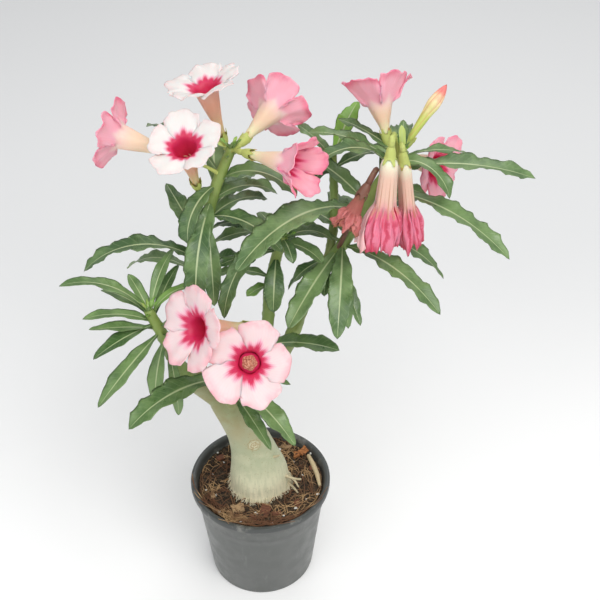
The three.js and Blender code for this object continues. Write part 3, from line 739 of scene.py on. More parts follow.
def stalk(line, bloom):
    """A bloom's stalk, and its calyx as a cup that ends in five points."""
    base, axis, across, other = bloom_frame(bloom)
    seat = base - axis * GAP
    foot = seat - axis * CALYX_LENGTH
    start = along(line, bloom["share"])[0]
    bend = foot - axis * (foot - start).length * 0.45

    def rod(u, v):
        spot = start * (1 - v) ** 2 + bend * 2 * v * (1 - v) + foot * v * v
        ahead = ((bend - start) * (1 - v) + (foot - bend) * v).normalized()
        side = Vector((0.2, 1, 0.1)).cross(ahead).normalized()
        radius = STALK_RADIUS * (1.25 - 0.6 * math.sin(math.pi * min(1, v + 0.15)) ** 2)
        return spot + spoke(side, ahead.cross(side), math.tau * u) * radius

    def cup(u, v):
        angle = math.tau * u
        point = max(0.0, -math.cos(5 * angle)) ** 0.8
        spread = max(0.0, 0.98 * bloom["waist"] - 3.15) * point
        rows = [(STALK_RADIUS * 0.9, -CALYX_LENGTH - 1.2), (STALK_RADIUS * 1.25, -CALYX_LENGTH),
                (CALYX_RADIUS * 0.86, -3), (CALYX_RADIUS * 0.98, 0.4 + 0.4 * point),
                (CALYX_RADIUS + 0.25 + spread, 0.9 + 3.2 * point),
                (CALYX_RADIUS - 0.1 + spread, 0.7 + 2.9 * point), (CALYX_RADIUS - 0.3, 0)]
        radius, height = eased(rows, v * (len(rows) - 1))
        return seat + axis * height + spoke(across, other, angle) * radius

    return sheet("stalk", 14, 14, rod), sheet("calyx", 50, 18, cup)


def aged(piece, value):
    """Marks how young each point of a green piece is."""
    painted(piece, "young", [value(corner.co / MM) for corner in piece.data.vertices])


skin, shader, place = finish_of("green_stem_skin")
youth = mark_of(place, "young")
cloud = speckle(place, 160, 4, 0.6)
base = mixed(ranged(youth, 0.1, 0.7), STEM_OLIVE, STEM_GREEN)
base = mixed(times(ranged(cloud, 0.45, 0.7), 0.45), base, (0.23, 0.31, 0.1, 1))
base = mixed(ranged(youth, 0.92, 1.3), base, SEPAL_GREEN)
red = times(ranged(youth, 1.8, 2.0), ranged(cloud, 0.42, 0.6))
base = mixed(times(red, 0.8), base, SEPAL_RED)
base = mixed(ranged(youth, -1.0, -0.5, 1, 0), base, WITHERED)
scars = spots(place, 230, 0.12, 0.24)
base = mixed(times(scars, 0.3), base, (0.3, 0.3, 0.13, 1))
coat(shader, base, 0.48, maths("ADD", speckle(place, 700, 4), times(scars, 0.5)), 0.3, 0.0004)

for key, stem in STEMS.items():
    thick, thin = stem["radii"]
    line = LINES[key]
    length, tip = line[-1]
    join = thick + (thin - thick) * stem["woody"]
    shoots = [tube("shoot", line, max(0, stem["woody"] - 0.03), 1.0, join, thin, 24, 70, 0.22)]
    aged(shoots[0], lambda spot: min(1.0, 1.15 - (spot - tip).length / length))
    for name, bloom in {**BLOOMS, "bud": BUD}.items():
        if bloom["on"] != key:
            continue
        rod, cup = stalk(line, bloom)
        base, axis = bloom_frame(bloom)[:2]
        dead = name == "bloom_dead"
        aged(rod, lambda spot: WITHERED_AGE if dead else STALK_AGE)
        aged(cup, lambda spot: WITHERED_AGE if dead
             else CUP_AGE + 0.13 * max(0.0, (spot - base).dot(axis)))
        shoots += [rod, cup]
    dress(joined(f"green_stem_{key}", shoots), "leaf", skin)

# Leaves
# Long leathery leaves in whorls near the stem tips: dark glossy green over, paler under, with a
# pale midrib, a folded blade and wavy margins. Each arches out of its stem and droops.
LEAF_THICKNESS = 0.26
PETIOLE = 1.5
LONG_LEAF = 57
LONG_STATIONS = [0, 0.13, 0.3, 0.48, 0.66, 0.85, 1]
SHORT_STATIONS = [0, 0.25, 0.55, 0.82, 1]
MARGIN_WAVE = 1.3
VEE = 14
LEAF_DARK = (0.05, 0.11, 0.033, 1)
LEAF_MID = (0.175, 0.275, 0.105, 1)
LEAF_FRESH = (0.2, 0.4, 0.05, 1)
LEAF_UNDER = (0.22, 0.31, 0.14, 1)
LEAF_RIB = (0.48, 0.56, 0.31, 1)
BRACT_GREEN = (0.5, 0.6, 0.18, 1)
# Leaves that are young, and how young all the rest of a stem are
FRESH_LEAVES = {"back": {1: 1.0}, "centre": {3: 0.4}, "left": {10: 0.45}}
YOUTH = {"left": 0.06, "low": 0.06}
# The young leaves of the left stem: smoother and narrower than the rest
SMOOTH = {"left": 0.35}
NARROW = {"left": 0.9}
SCALE_LEAVES = 5
BRACTS = 4
# Leaves by stem: share of its length, turn, rise, length, droop, sweep and width
LEAVES = {
    "left": [
        [0.98, 178, 65, 62, 90, 0, 11], [0.95, 125, 45, 32, 30, 0, 9],
        [0.98, 75, 60, 46, 55, -10, 9], [0.92, 190, 35, 44, 50, 0, 11],
        [0.87, 205, 25, 44, 15, 0, 11], [0.96, 152, 35, 38, 50, 0, 10],
        [0.9, 215, 5, 44, 30, 0, 13], [0.84, 232, -15, 60, 20, -5, 14],
        [0.78, 252, -35, 42, 50, 0, 12], [0.74, 290, -50, 52, 50, 0, 9],
        [0.97, 28, 65, 42, 110, 0, 9], [0.94, 68, 45, 40, 40, 0, 9],
        [0.88, -12, 50, 32, 55, 0, 12], [0.83, -50, 30, 40, 40, 0, 12],
    ],
    "upper_left": [
        [0.86, 229, 0, 44, 100, 3, 14], [0.8, 257, -10, 76, 90, 2, 15],
        [0.72, 280, -20, 54, 60, -5, 11], [0.56, 184, 45, 80, 95, 5, 16],
        [0.5, 160, 35, 56, 90, 0, 11], [0.62, 127, 40, 48, 20, -5, 12],
        [0.9, 135, 42, 74, 75, 0, 11], [0.88, -12, 45, 54, 100, -5, 16],
        [0.8, 18, 40, 45, 90, 0, 14], [0.74, -30, 28, 56, 75, 0, 16],
        [0.72, 28, 45, 44, 80, 0, 13], [0.79, -95, 10, 26, 90, 0, 9],
        [0.68, -15, 45, 44, 65, -10, 12], [0.6, 15, 40, 40, 60, 0, 11],
        [0.54, 0, 35, 32, 50, 0, 11], [0.93, 60, 40, 18, 15, 0, 7],
        [0.85, 95, 35, 62, 60, 0, 14], [0.7, 65, 30, 70, 60, 0, 14],
    ],
    "centre": [
        [0.92, 232, 52, 76, 135, 12, 12], [0.92, 206, 12, 44, 25, 0, 9],
        [0.76, 173, 25, 36, 55, 0, 8], [0.72, 226, 20, 20, 30, 0, 9],
        [0.99, -70, 10, 20, 60, 0, 8], [0.88, -95, -25, 36, 55, 0, 13],
        [0.96, -25, 20, 30, 70, 0, 12], [0.98, 5, 45, 34, 100, 0, 11],
        [0.95, 115, 30, 32, 40, 0, 12], [0.83, 70, 30, 56, 50, 0, 13],
        [0.38, -19, 30, 54, 38, 0, 17],
    ],
    "right": [
        [0.64, 238, -10, 62, 32, -5, 16], [0.66, 268, 0, 66, 60, -5, 15],
        [0.63, 281, -18, 50, 50, 0, 10], [0.6, 299, -20, 46, 34, 0, 9],
        [0.61, 200, 2, 36, 68, 0, 9], [0.58, 262, -20, 20, 40, 0, 8],
        [0.67, 170, 24, 37, 24, 0, 14], [0.7, 140, 18, 34, 18, 0, 12],
        [0.72, 110, 8, 42, 10, -5, 12], [0.68, 88, 10, 55, 25, 0, 13],
        [0.66, -42, 16, 81, 55, 0, 15], [0.69, -17, 22, 70, 80, 0, 13],
        [0.78, 218, 40, 106, 80, 5, 22], [0.81, 150, 45, 52, 40, 0, 16],
        [0.94, 195, 65, 62, 120, 5, 14], [0.96, 158, 30, 58, 44, 0, 12],
        [0.98, 136, 20, 50, 26, 0, 8], [0.97, 16, 15, 50, 45, 0, 7],
        [0.95, -34, 45, 48, 120, -5, 12], [0.93, -7, 18, 88, 38, 3, 18],
        [0.99, 85, 48, 20, 12, 0, 7], [0.86, -20, 6, 93, 44, -14, 16],
        [0.74, 10, 5, 46, 60, -30, 11], [0.86, 2, 12, 32, 45, 0, 10],
        [0.7, 40, 30, 66, 60, 0, 14], [0.88, 70, 35, 70, 60, 0, 14],
    ],
    "back": [
        [0.98, 149, 45, 30, 26, 0, 9], [0.98, 68, 38, 48, 34, 0, 12],
        [0.94, 175, 20, 22, 28, 0, 11], [0.9, 216, -5, 22, 43, 0, 11],
        [0.88, 20, 30, 44, 50, 0, 12],
    ],
    "low": [
        [0.85, 209, 25, 74, 62, 8, 19], [0.62, -60, 0, 52, 35, 8, 10],
        [0.78, -46, 12, 64, 50, 0, 15], [0.93, -15, 15, 40, 25, 0, 11],
    ],
}


def draws(seed):
    """Steady pseudo-random numbers from 0 to 1, the same ones that shaped the solids."""
    state = float(seed)
    while True:
        state = math.fmod(state * 1103515245.0 + 12345.0, 2147483648.0)
        yield state / 2147483648.0


def leaf(base, turn, rise, length, droop, sweep, width, index, fine=1.0):
    """One closed blade: its upper face, then its lower one, round a grid that runs to the tip."""
    draw = draws(17 + index * 31)
    phase = 1 if next(draw) < 0.5 else -1
    stations = LONG_STATIONS if length > LONG_LEAF else SHORT_STATIONS
    waves = [
        (0.05 < t < 0.95) * MARGIN_WAVE * (0.4 + 0.6 * fine) * phase * (1 if k % 2 else -1)
        * (0.6 + 0.6 * next(draw))
        for k, t in enumerate(stations)]
    rows = max(12, int(length * 0.5))
    steps = rows * 4
    middles = [Vector(base)]
    for k in range(steps):
        t = (k + 0.5) / steps
        middles.append(
            middles[-1] + heading(turn + sweep * t, rise - droop * t) * length / steps)
    ripple = [1 + 0.5 * next(draw) for _ in range(4)]

    def blade(u, t):
        ahead = heading(turn + sweep * t, rise - droop * t)
        way = math.radians(turn + sweep * t)
        side = Vector((-math.sin(way), math.cos(way), 0))
        under = u > 0.5
        w = 4 * u - 3 if under else 1 - 4 * u
        form = max(0.02, math.sin(math.pi * t ** 1.2)) ** 0.62 if t < 1 else 0.0
        half = max(PETIOLE / 2 * (1 - t ** 3), width / 2 * form)
        near = next(k for k in range(len(stations) - 1) if t <= stations[k + 1])
        part = (t - stations[near]) / (stations[near + 1] - stations[near])
        part = (1 - math.cos(math.pi * part)) / 2
        wave = waves[near] + (waves[near + 1] - waves[near]) * part
        crinkle = fine * min(1.0, half / 5) * (
            0.75 * math.sin(t * length / 2.3 * ripple[0 if w > 0 else 1] + 3 * phase)
            + 0.35 * math.sin(t * length / 1.1 * ripple[2 if w > 0 else 3]))
        half *= 1 + fine * 0.05 * math.sin(t * length / 1.9 * ripple[1 if w > 0 else 2])
        lift = half * math.sin(math.radians(VEE)) * (0.55 * abs(w) + 0.45 * w * w)
        lift += wave * w * abs(w) ** 0.6 + crinkle * abs(w) ** 2.5
        thick = LEAF_THICKNESS * (1 - 0.6 * w * w) * (1 - 0.55 * t) + 0.5 * max(0.0, 1 - t * 9)
        groove = math.exp(-(w * half / 0.7) ** 2)
        if under:
            thick = -thick - 0.55 * groove * (1 - 0.75 * t)
        else:
            thick -= 0.12 * groove
        if t in (0, 1):
            thick *= 0.02
            half *= 0.02
        rise_here = ahead.cross(side) * (lift * (t < 1) + thick)
        return middles[round(t * steps)] + side * half * w + rise_here

    return sheet("leaf", 20, rows, blade)


def grid_of(place):
    """Across and along a piece's own grid."""
    return parts_of(node(place.id_data, "UVMap", uv_map="UVMap").outputs[0])


# The leaf's green goes by face, age and blotch. Its midrib and side veins follow its own grid.
leaf_green, shader, place = finish_of("leaf_green")
grid = grid_of(place)
across = maths("ABSOLUTE", maths("MULTIPLY_ADD", maths("PINGPONG", grid["X"], 0.5), 4, -1))
age = mark_of(place, "fresh")
cloud = speckle(place, 70, 4, 0.6)
blotch = maths("ADD", ranged(cloud, 0.3, 0.7, -0.4, 0.5), mark_of(place, "tone"))
base = mixed(blotch, LEAF_DARK, LEAF_MID)
side = maths("SINE", maths("SUBTRACT", times(grid["Y"], 95), times(across, 9)))
veins = times(ranged(side, 0.8, 1.0), ranged(across, 0.1, 0.3, 0, 1))
base = mixed(times(veins, 0.24), base, LEAF_UNDER)
base = mixed(age, base, LEAF_FRESH)
base = mixed(ranged(age, 1.0, 2.0), base, BRACT_GREEN)
base = mixed(times(maths("GREATER_THAN", grid["X"], 0.5), 0.8), base, LEAF_UNDER)
width = ranged(grid["Y"], 0, 1, 0.16, 0.05)
rib = ranged(maths("DIVIDE", across, width), 0.35, 1.0, 1, 0)
base = mixed(times(rib, 0.85), base, LEAF_RIB)
base = mixed(times(ranged(across, 0.9, 1.0), 0.4), base, (0.16, 0.25, 0.08, 1))
coat(shader, base, ranged(speckle(place, 150), 0.3, 0.7, 0.27, 0.42),
     maths("ADD", times(veins, -0.5), speckle(place, 500, 3)), 0.28, 0.0005)


def tinted(piece, tone, fresh):
    for name, value in (("tone", tone), ("fresh", fresh)):
        painted(piece, name, [value] * len(piece.data.vertices))
    return piece


shades = random.Random(5)
for key, rows in LEAVES.items():
    line = LINES[key]
    thin = STEMS[key]["radii"][1]
    whorl = []
    for index, (share, turn, rise, length, droop, sweep, width) in enumerate(rows):
        base = along(line, share)[0] + heading(turn, 0) * thin * 0.5
        blade = leaf(base, turn, rise, length, droop, sweep, width * NARROW.get(key, 1), index,
                     SMOOTH.get(key, 1.0))
        fresh = FRESH_LEAVES.get(key, {}).get(index, YOUTH.get(key, 0.0))
        whorl.append(tinted(blade, shades.uniform(0.15, 0.8), fresh))
    tip, ahead = along(line, 1.0)
    for count in range(SCALE_LEAVES):
        turn = 72 * count + shades.uniform(-20, 20)
        blade = leaf(tip - ahead * 1.5, turn, shades.uniform(55, 78), shades.uniform(6, 11), 25, 0,
                     2.6, count, 0.2)
        whorl.append(tinted(blade, 0.9, 0.8))
    for count in range(BRACTS):
        turn = 90 * count + shades.uniform(-25, 25)
        base = along(line, shades.uniform(0.95, 0.99))[0]
        blade = leaf(base, turn, shades.uniform(35, 70), shades.uniform(9, 15), 20, 0, 2.2,
                     count + 7, 0.2)
        whorl.append(tinted(blade, 0.9, 0.9 + 0.5 * (count % 3)))
    if key == "right":
        whorl.append(tinted(leaf(tip - ahead * 2, 110, 84, 17, 12, 0, 5, 3, 0.2), 0.9, 2.0))
    dress(joined(f"leaves_{key}", whorl), "leaf", leaf_green,
          *([] if key == "back" else [f"leafy_stem_{key}"]))

# Blooms
# Trumpets of one thin fleshy sheet: a ribbed tube that widens to the throat and opens into five
# broad overlapping lobes with ruffled edges. A crimson star spreads from the throat over the lobes.
LOBES = 5
PETAL_SHEET = 0.45
TUBE_FLOOR = 0.3
TUBE_ROWS = 12
PETAL_ROWS = 16
PETAL_COLUMNS = 18
OVERLAP = 0.1
# How far a lobe's outline reaches at three places across it, and where those and the cuts stand
REACH = [0.94, 1.03, 0.9]
REACH_AT = [-1, -0.76, -0.04, 0.72, 1]
# How far the cut between two lobes stands from the throat, as a share of a lobe
NOTCHES = {"pale": 0.52, "white": 0.6, "pink": 0.48, "folded": 0.8, "dry": 0.55}
# How far the outline strays, and how much its turned-back corner adds
STRAY = {"folded": 0.2, "dry": 0.25}
CORNER = {"white": 0.13, "pale": 0.06, "pink": 0.05}
# Single lobes that hang loose and faded, or stand more upright, in degrees of lean
LOOSE_LOBES = {("bloom_hanging", 2): 13}
UPRIGHT_LOBES = {("bloom_right", 0): 24, ("bloom_right", 4): 20, ("bloom_right", 1): 10}
# Single lobes longer or shorter than their neighbours, and blooms smaller than their solids
LONG_LOBES = {("bloom_front", 2): 1.13, ("bloom_front", 1): 0.96, ("bloom_front", 4): 0.92,
              ("bloom_front", 0): 0.95}
SMALLER = {"bloom_white": 0.86, "bloom_top": 0.94}
FADED = (0.84, 0.56, 0.55, 1)
CRIMSON = (0.56, 0.01, 0.085, 1)
HALO = (0.86, 0.17, 0.38, 1)
THROAT = (0.56, 0.01, 0.05, 1)
# Petal colours: the middle of a lobe, its rim, its back, then the tube's outside at its mouth,
# waist and foot
PETAL_HUES = {
    "pale": ((0.81, 0.61, 0.62, 1), (0.83, 0.42, 0.47, 1), (0.82, 0.54, 0.56, 1),
             (0.84, 0.5, 0.44, 1), (0.8, 0.4, 0.27, 1), (0.7, 0.6, 0.3, 1)),
    "white": ((0.73, 0.69, 0.67, 1), (0.74, 0.6, 0.6, 1), (0.75, 0.63, 0.61, 1),
              (0.82, 0.5, 0.42, 1), (0.76, 0.36, 0.24, 1), (0.66, 0.5, 0.24, 1)),
    "pink": ((0.9, 0.4, 0.48, 1), (0.76, 0.16, 0.27, 1), (0.9, 0.42, 0.51, 1),
             (0.9, 0.63, 0.6, 1), (0.87, 0.6, 0.42, 1), (0.84, 0.76, 0.44, 1)),
    "folded": ((0.8, 0.17, 0.27, 1), (0.56, 0.03, 0.09, 1), (0.8, 0.2, 0.3, 1),
               (0.84, 0.46, 0.42, 1), (0.86, 0.55, 0.43, 1), (0.93, 0.84, 0.62, 1)),
    "dry": ((0.46, 0.13, 0.12, 1), (0.34, 0.13, 0.07, 1), (0.55, 0.17, 0.165, 1),
            (0.44, 0.12, 0.11, 1), (0.34, 0.1, 0.08, 1), (0.22, 0.09, 0.05, 1)),
}
HUE_OF = {
    "bloom_front": "pale", "bloom_front_left": "pale", "bloom_white": "white",
    "bloom_top": "white", "bloom_hanging": "folded", "bloom_hanging_right": "folded",
    "bloom_dead": "dry",
}


def between(places, values, at):
    """A smooth value between the ones set at given places."""
    near = next(k for k in range(len(places) - 1) if at <= places[k + 1] + 1e-9)
    part = (at - places[near]) / (places[near + 1] - places[near])
    return values[near] + (values[near + 1] - values[near]) * (3 - 2 * part) * part * part


def star_group():
    """Puts out a lobe's star, the halo round it and its fine veins, from the lobe's own grid."""
    group = bpy.data.node_groups.new("lobe_marks", "ShaderNodeTree")
    for name in ("Across", "Along", "Cloud"):
        group.interface.new_socket(name, in_out="INPUT", socket_type="NodeSocketFloat")
    for name in ("Star", "Halo", "Veins"):
        group.interface.new_socket(name, in_out="OUTPUT", socket_type="NodeSocketFloat")
    given = group.nodes.new("NodeGroupInput").outputs
    result = group.nodes.new("NodeGroupOutput").inputs
    across, cloud = given["Across"], given["Cloud"]
    rays = maths("COSINE", maths("MULTIPLY_ADD", cloud, 1.6, times(across, 4.7)))
    rays = maths("POWER", maths("ABSOLUTE", rays), 1.6)
    fine = maths("COSINE", times(across, 47))
    centred = ranged(maths("ABSOLUTE", across), 0.1, 1.0, 1.0, 0.45)
    tips = maths("MULTIPLY_ADD", rays, 0.2, 0.1)
    tips = times(maths("MULTIPLY_ADD", fine, 0.03, tips), centred)
    beyond = maths("SUBTRACT", given["Along"], maths("MULTIPLY_ADD", cloud, 0.2, tips))
    group.links.new(ranged(beyond, -0.18, 0.06, 1, 0), result["Star"])
    group.links.new(ranged(beyond, -0.04, 0.2, 1, 0), result["Halo"])
    group.links.new(ranged(fine, 0.72, 1.0), result["Veins"])
    return group


marks = star_group()


def petal_finish(hue, back):
    """The inner face of a bloom, or its back with the outside of the tube."""
    middle, rim, outside, mouth_hue, waist_hue, foot_hue = PETAL_HUES[hue]
    petal, shader, place = finish_of(f"petal_{hue}_{'back' if back else 'face'}")
    folded, dry = hue == "folded", hue == "dry"
    grid = grid_of(place)
    across = maths("MULTIPLY_ADD", grid["X"], 2, -1)
    lobe = maths("MULTIPLY_ADD", grid["Y"], 2, -1)
    cloud = speckle(place, 110, 4, 0.6)
    marked = node(place.id_data, "Group", node_tree=marks)
    star_along = times(lobe, 1.25 if hue == "white" else 1.0)
    unrest = maths("SUBTRACT", cloud, 0.5)
    for name, value in (("Across", across), ("Along", star_along), ("Cloud", unrest)):
        place.id_data.links.new(value, marked.inputs[name])
    star, halo, veins = (marked.outputs[name] for name in ("Star", "Halo", "Veins"))
    wide = maths("ABSOLUTE", across)
    outer = maths("MAXIMUM", ranged(lobe, 0.62, 1.02),
                  times(ranged(wide, 0.72, 1.0), ranged(lobe, 0.2, 0.6)))
    outer = times(outer, ranged(cloud, 0.38, 0.62, 0.2, 1))
    base = mixed(outer, outside if back else middle, rim)
    if back:
        upward = maths("ADD", lobe, maths("MULTIPLY_ADD", wide, 0.3, times(cloud, 0.3)))
        pink_from, foot_end = (-0.12, -0.65) if folded else (0.1, -0.5)
        base = mixed(ranged(upward, pink_from, pink_from + 0.32, 1, 0), base, mouth_hue)
        base = mixed(ranged(lobe, -0.45, 0.0, 1, 0), base, waist_hue)
        base = mixed(ranged(lobe, -0.95, foot_end, 1, 0), base, foot_hue)
        base = mixed(times(veins, ranged(lobe, 0.0, 0.5, 0.35, 0)), base, rim)
    elif not dry:
        base = mixed(times(halo, 0.55), base, HALO)
        base = mixed(star, base, CRIMSON)
        base = mixed(ranged(lobe, -0.75, -0.05, 1, 0), base, THROAT)
    if folded:
        pleats = maths("SINE", maths("MULTIPLY_ADD", across, 8, times(cloud, 9)))
        pleats = times(ranged(pleats, 0.1, 0.9), ranged(lobe, 0.0, 0.2))
        base = mixed(times(pleats, 0.75), base, rim)
        furrows = times(ranged(maths("PINGPONG", across, 0.36), 0.2, 0.34),
                        times(ranged(lobe, -0.8, -0.4), ranged(lobe, 0, 0.1, 1, 0)))
        base = mixed(times(furrows, 0.75), base, (0.55, 0.25, 0.16, 1))
        base = mixed(times(mark_of(place, "faded"), 0.8), base, FADED)
    coat(shader, mixed(times(veins, 0.12), base, rim), 0.75 if dry else 0.5,
         maths("MULTIPLY_ADD", veins, 0.5, speckle(place, 420, 4)), 0.6 if dry else 0.2, 0.0004)
    shader.inputs["Subsurface Weight"].default_value = 0.1 if dry else 0.5
    shader.inputs["Subsurface Radius"].default_value = (1.0, 0.45, 0.4)
    shader.inputs["Subsurface Scale"].default_value = 0.002
    return petal


finishes = {hue: (petal_finish(hue, True), petal_finish(hue, False)) for hue in PETAL_HUES}


def tube_wall(bloom, share):
    """How wide a bloom's tube is at a share of its length, from its waist on."""
    waist = bloom["waist"]
    return waist + (bloom["throat"] - waist) * max(0.0, share - TUBE_FLOOR) / (1 - TUBE_FLOOR)


def corolla(name, bloom):
    """Five strips from the foot of the tube to the tips of the lobes, welded up to the throat."""
    base, axis, side, other = bloom_frame(bloom)
    hue = HUE_OF.get(name, "pink")
    folded, dry, hangs = hue == "folded", hue == "dry", bloom["rise"] < -30
    tube_length, waist, throat = bloom["tube"], bloom["waist"], bloom["throat"]
    flare, seed = bloom["flare"], bloom["seed"]
    petal = bloom["petal"] * SMALLER.get(name, 1)
    draw, lot = draws(seed), random.Random(seed)
    rows = TUBE_ROWS + PETAL_ROWS
    strips = []
    for lobe in range(LOBES):
        length = (0.93 + 0.14 * next(draw)) * LONG_LOBES.get((name, lobe), 0.9 if dry else 1)
        reach = [NOTCHES[hue], *(value * length for value in REACH), NOTCHES[hue]]
        waves = [0, *(bloom["ruffle"] * (next(draw) - 0.5) * 2 for _ in range(3)), 0]
        lean, skew, phase = lot.uniform(-9, 9), lot.uniform(-0.05, 0.08), lot.uniform(0, 6)
        loose = LOOSE_LOBES.get((name, lobe), 0)
        lean += loose - UPRIGHT_LOBES.get((name, lobe), 12 if folded else 0)
        skew = -1.0 if loose else skew + (0.35 if name == "bloom_front" else 0)

        def tube_place(w, turn, share):
            """The ribbed tube, which closes to a rounded foot under its waist."""
            radius = tube_wall(bloom, share)
            if share <= TUBE_FLOOR:
                shoulder = (0.98 if folded else 0.83) * waist
                radius = between([0, 0.12, TUBE_FLOOR], [2.1, shoulder, waist], share)
            radius *= 1 + (0.07 if hangs else 0.04) * math.cos(math.pi * w) * share
            return base + axis * (tube_length * share) + spoke(side, other, turn) * radius

        def lobe_place(w, turn, s):
            """The lobe, which bends out from the throat, with its ruffles, folds and crumples."""
            turn += math.pi / LOBES * (
                OVERLAP * w * math.sin(math.pi / 2 * min(1.0, s * 2.2)) + skew * s * s)
            share = between(REACH_AT, reach, w)
            share += CORNER.get(hue, 0.03) * math.exp(-((w - skew * 6 - 0.3) / 0.2) ** 2)
            share += STRAY.get(hue, 0.13) * noise.noise(Vector((2.4 * w, 5.3 * lobe, 0.7 * seed)))
            radius, height = throat, tube_length
            for k in range(6):
                bend = (k + 0.5) / 6 * s
                angle = math.radians(
                    flare[0] + (flare[1] - flare[0] + lean * s) * bend + loose * 0.6 * s)
                radius += math.sin(angle) * petal * s * share / 6
                height += math.cos(angle) * petal * s * share / 6
            tilt = math.radians(flare[0] + (flare[1] - flare[0]) * s)
            offset = between(REACH_AT, waves, w) * s + 0.5 * w * math.sin(math.pi * min(1, s * 1.3))
            if hangs:
                fold = math.sin(8 * w + 2 * s + phase)
                offset += 1.5 * math.sin(math.pi * min(1, 0.25 + s)) * fold
                offset += 0.7 * s * math.sin(15 * w - 3 * s + phase)
                if dry:
                    offset += 4.6 * s * noise.noise(Vector((2.1 * w, 3.4 * s, 4.3 * lobe)))
                    turn += 0.35 * s * noise.noise(Vector((1.5 * w, 2.8 * s, 9.1 * lobe)))
            else:
                offset -= (2.2 if hue == "pink" else 1.4) * w * w * math.sin(
                    math.pi * min(1, s * 1.1))
                offset += 1.2 * s * noise.noise(Vector((1.3 * w, 1.9 * s, 3.1 * lobe + seed)))
                offset -= 0.35 * s * math.exp(-(w / 0.13) ** 2)
                offset += 1.1 * abs(w) ** 3 * s * s * math.sin(6 * s + phase + (3 if w > 0 else 0))
                offset += bloom["ruffle"] * 0.33 * s ** 3 * (
                    math.sin(9 * w + phase) + 0.5 * math.sin(17 * w + lobe))
            radius -= offset * math.cos(tilt)
            height += offset * math.sin(tilt)
            return base + axis * height + spoke(side, other, turn) * radius

        def strip_place(u, v):
            w = 2 * u - 1
            turn = math.tau * (lobe + 0.5 + 0.5 * w) / LOBES
            row = v * rows
            if row <= TUBE_ROWS:
                return tube_place(w, turn, row / TUBE_ROWS)
            return lobe_place(w, turn, (row - TUBE_ROWS) / PETAL_ROWS)

        strips.append(sheet("lobe", PETAL_COLUMNS, rows, strip_place, weld=False))
        painted(strips[-1], "faded", [float(loose > 0)] * len(strips[-1].data.vertices))
    made = joined(name + "_petals", strips)
    bpy.ops.object.mode_set(mode="EDIT")
    bpy.ops.mesh.select_all(action="SELECT")
    bpy.ops.mesh.remove_doubles(threshold=2e-6)
    bpy.ops.object.mode_set(mode="OBJECT")
    made.data.materials.clear()
    for finish in finishes[hue]:
        made.data.materials.append(finish)
    finished(made, "SOLIDIFY", thickness=PETAL_SHEET * MM, offset=-1, material_offset=1,
             material_offset_rim=0, use_quality_normals=True)
    bpy.ops.object.shade_smooth()
    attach(made, "root")
    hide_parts(name)


for name, bloom in BLOOMS.items():
    corolla(name, bloom)

# Anthers
# A cone of five woolly anthers, twisted together, that fills the throat. It is peach brown with
# paler wool, and each anther runs out in a thread.
WITH_STAMENS = ["bloom_front", "bloom_front_left", "bloom_white", "bloom_top", "bloom_far_left",
                "bloom_middle"]
SHORT_TUBE = 30
wool, shader, place = finish_of("anther_wool")
woolly = mixed(ranged(speckle(place, 900, 4, 0.7), 0.4, 0.62),
               (0.42, 0.14, 0.08, 1), (0.72, 0.38, 0.26, 1))
coat(shader, mixed(ranged(mark_of(place, "collar"), 0.3, 0.7), woolly, CRIMSON), 0.85,
     speckle(place, 2200, 3), 0.8, 0.0004)
for name in WITH_STAMENS:
    bloom = BLOOMS[name]
    base, axis, side, other = bloom_frame(bloom)
    tube_length = bloom["tube"]
    in_view = name == "bloom_front"
    low = tube_length * TUBE_FLOOR + GAP + 0.2
    high = tube_length * (0.99 if in_view else 0.62)
    neck = min(low + 5, high - 6)
    grown = 1.02 if in_view else 0.8
    wide = 1.27 if in_view else 0.55 if tube_length < SHORT_TUBE else 0.8

    def room(height):
        """The widest anthers that the tube holds at a height."""
        return (0.96 * tube_wall(bloom, height / tube_length) - PETAL_SHEET - 0.15) / 1.02

    form = [(0.05, low), (1.4, low + 0.05), (1.7, neck),
            (min(4.4 * wide, room(high - 5)), high - 5),
            (min(4.8 * wide, room(high - 2.8)), high - 2.8),
            (3.9 * grown, high - 1), (2.4 * grown, high + 1.2), (0.05, high + 2.2)]

    def cone(u, v):
        radius, height = eased(form, v * (len(form) - 1))
        turn = math.tau * u
        ridge = 0.02 + 0.07 * min(1.0, max(0.0, (height - high + 2.5) / 1.5))
        radius = max(0.02, radius) * (1 + ridge * math.cos(5 * turn))
        return base + axis * height + spoke(side, other, turn + v * 1.1) * radius

    threads = []
    foot = base + axis * (high - 0.6)
    for count in range(LOBES):
        turn = math.tau * (count + 0.3) / LOBES
        out = spoke(side, other, turn)
        twist = side * -math.sin(turn) + other * math.cos(turn)
        threads.append([(foot + out * 2.4 * grown, 0.8 * grown),
                        (foot + out * 2.6 * grown + axis * 2 + twist * 0.6, 0.7 * grown),
                        (foot + out * 2.2 * grown + axis * 3.4 + twist * 1.9, 0.55 * grown),
                        (foot + out * 0.9 + axis * 4.2 + twist * 2.6, 0.3)])
    cone_piece = sheet("cone", 50, 30, cone)
    painted(cone_piece, "collar", [float((corner.co / MM - base).dot(axis) < high - 1.5)
                                   for corner in cone_piece.data.vertices])
    anthers = joined(name.replace("bloom", "anthers"), [cone_piece, rods("threads", threads, 6)])
    dress(anthers, "anther", wool, name.replace("bloom", "stamens"))

# Bud
# A closed bud of five petals furled round each other, green-yellow at its foot, then peach, with a
# coral tip.
BUD_FORM = [(2, 0), (2.4, 0.2), (3.2, 0.45), (4.2, 0.64), (3.6, 0.8), (1.8, 0.93), (0.12, 1)]
base, axis, side, other = bloom_frame(BUD)


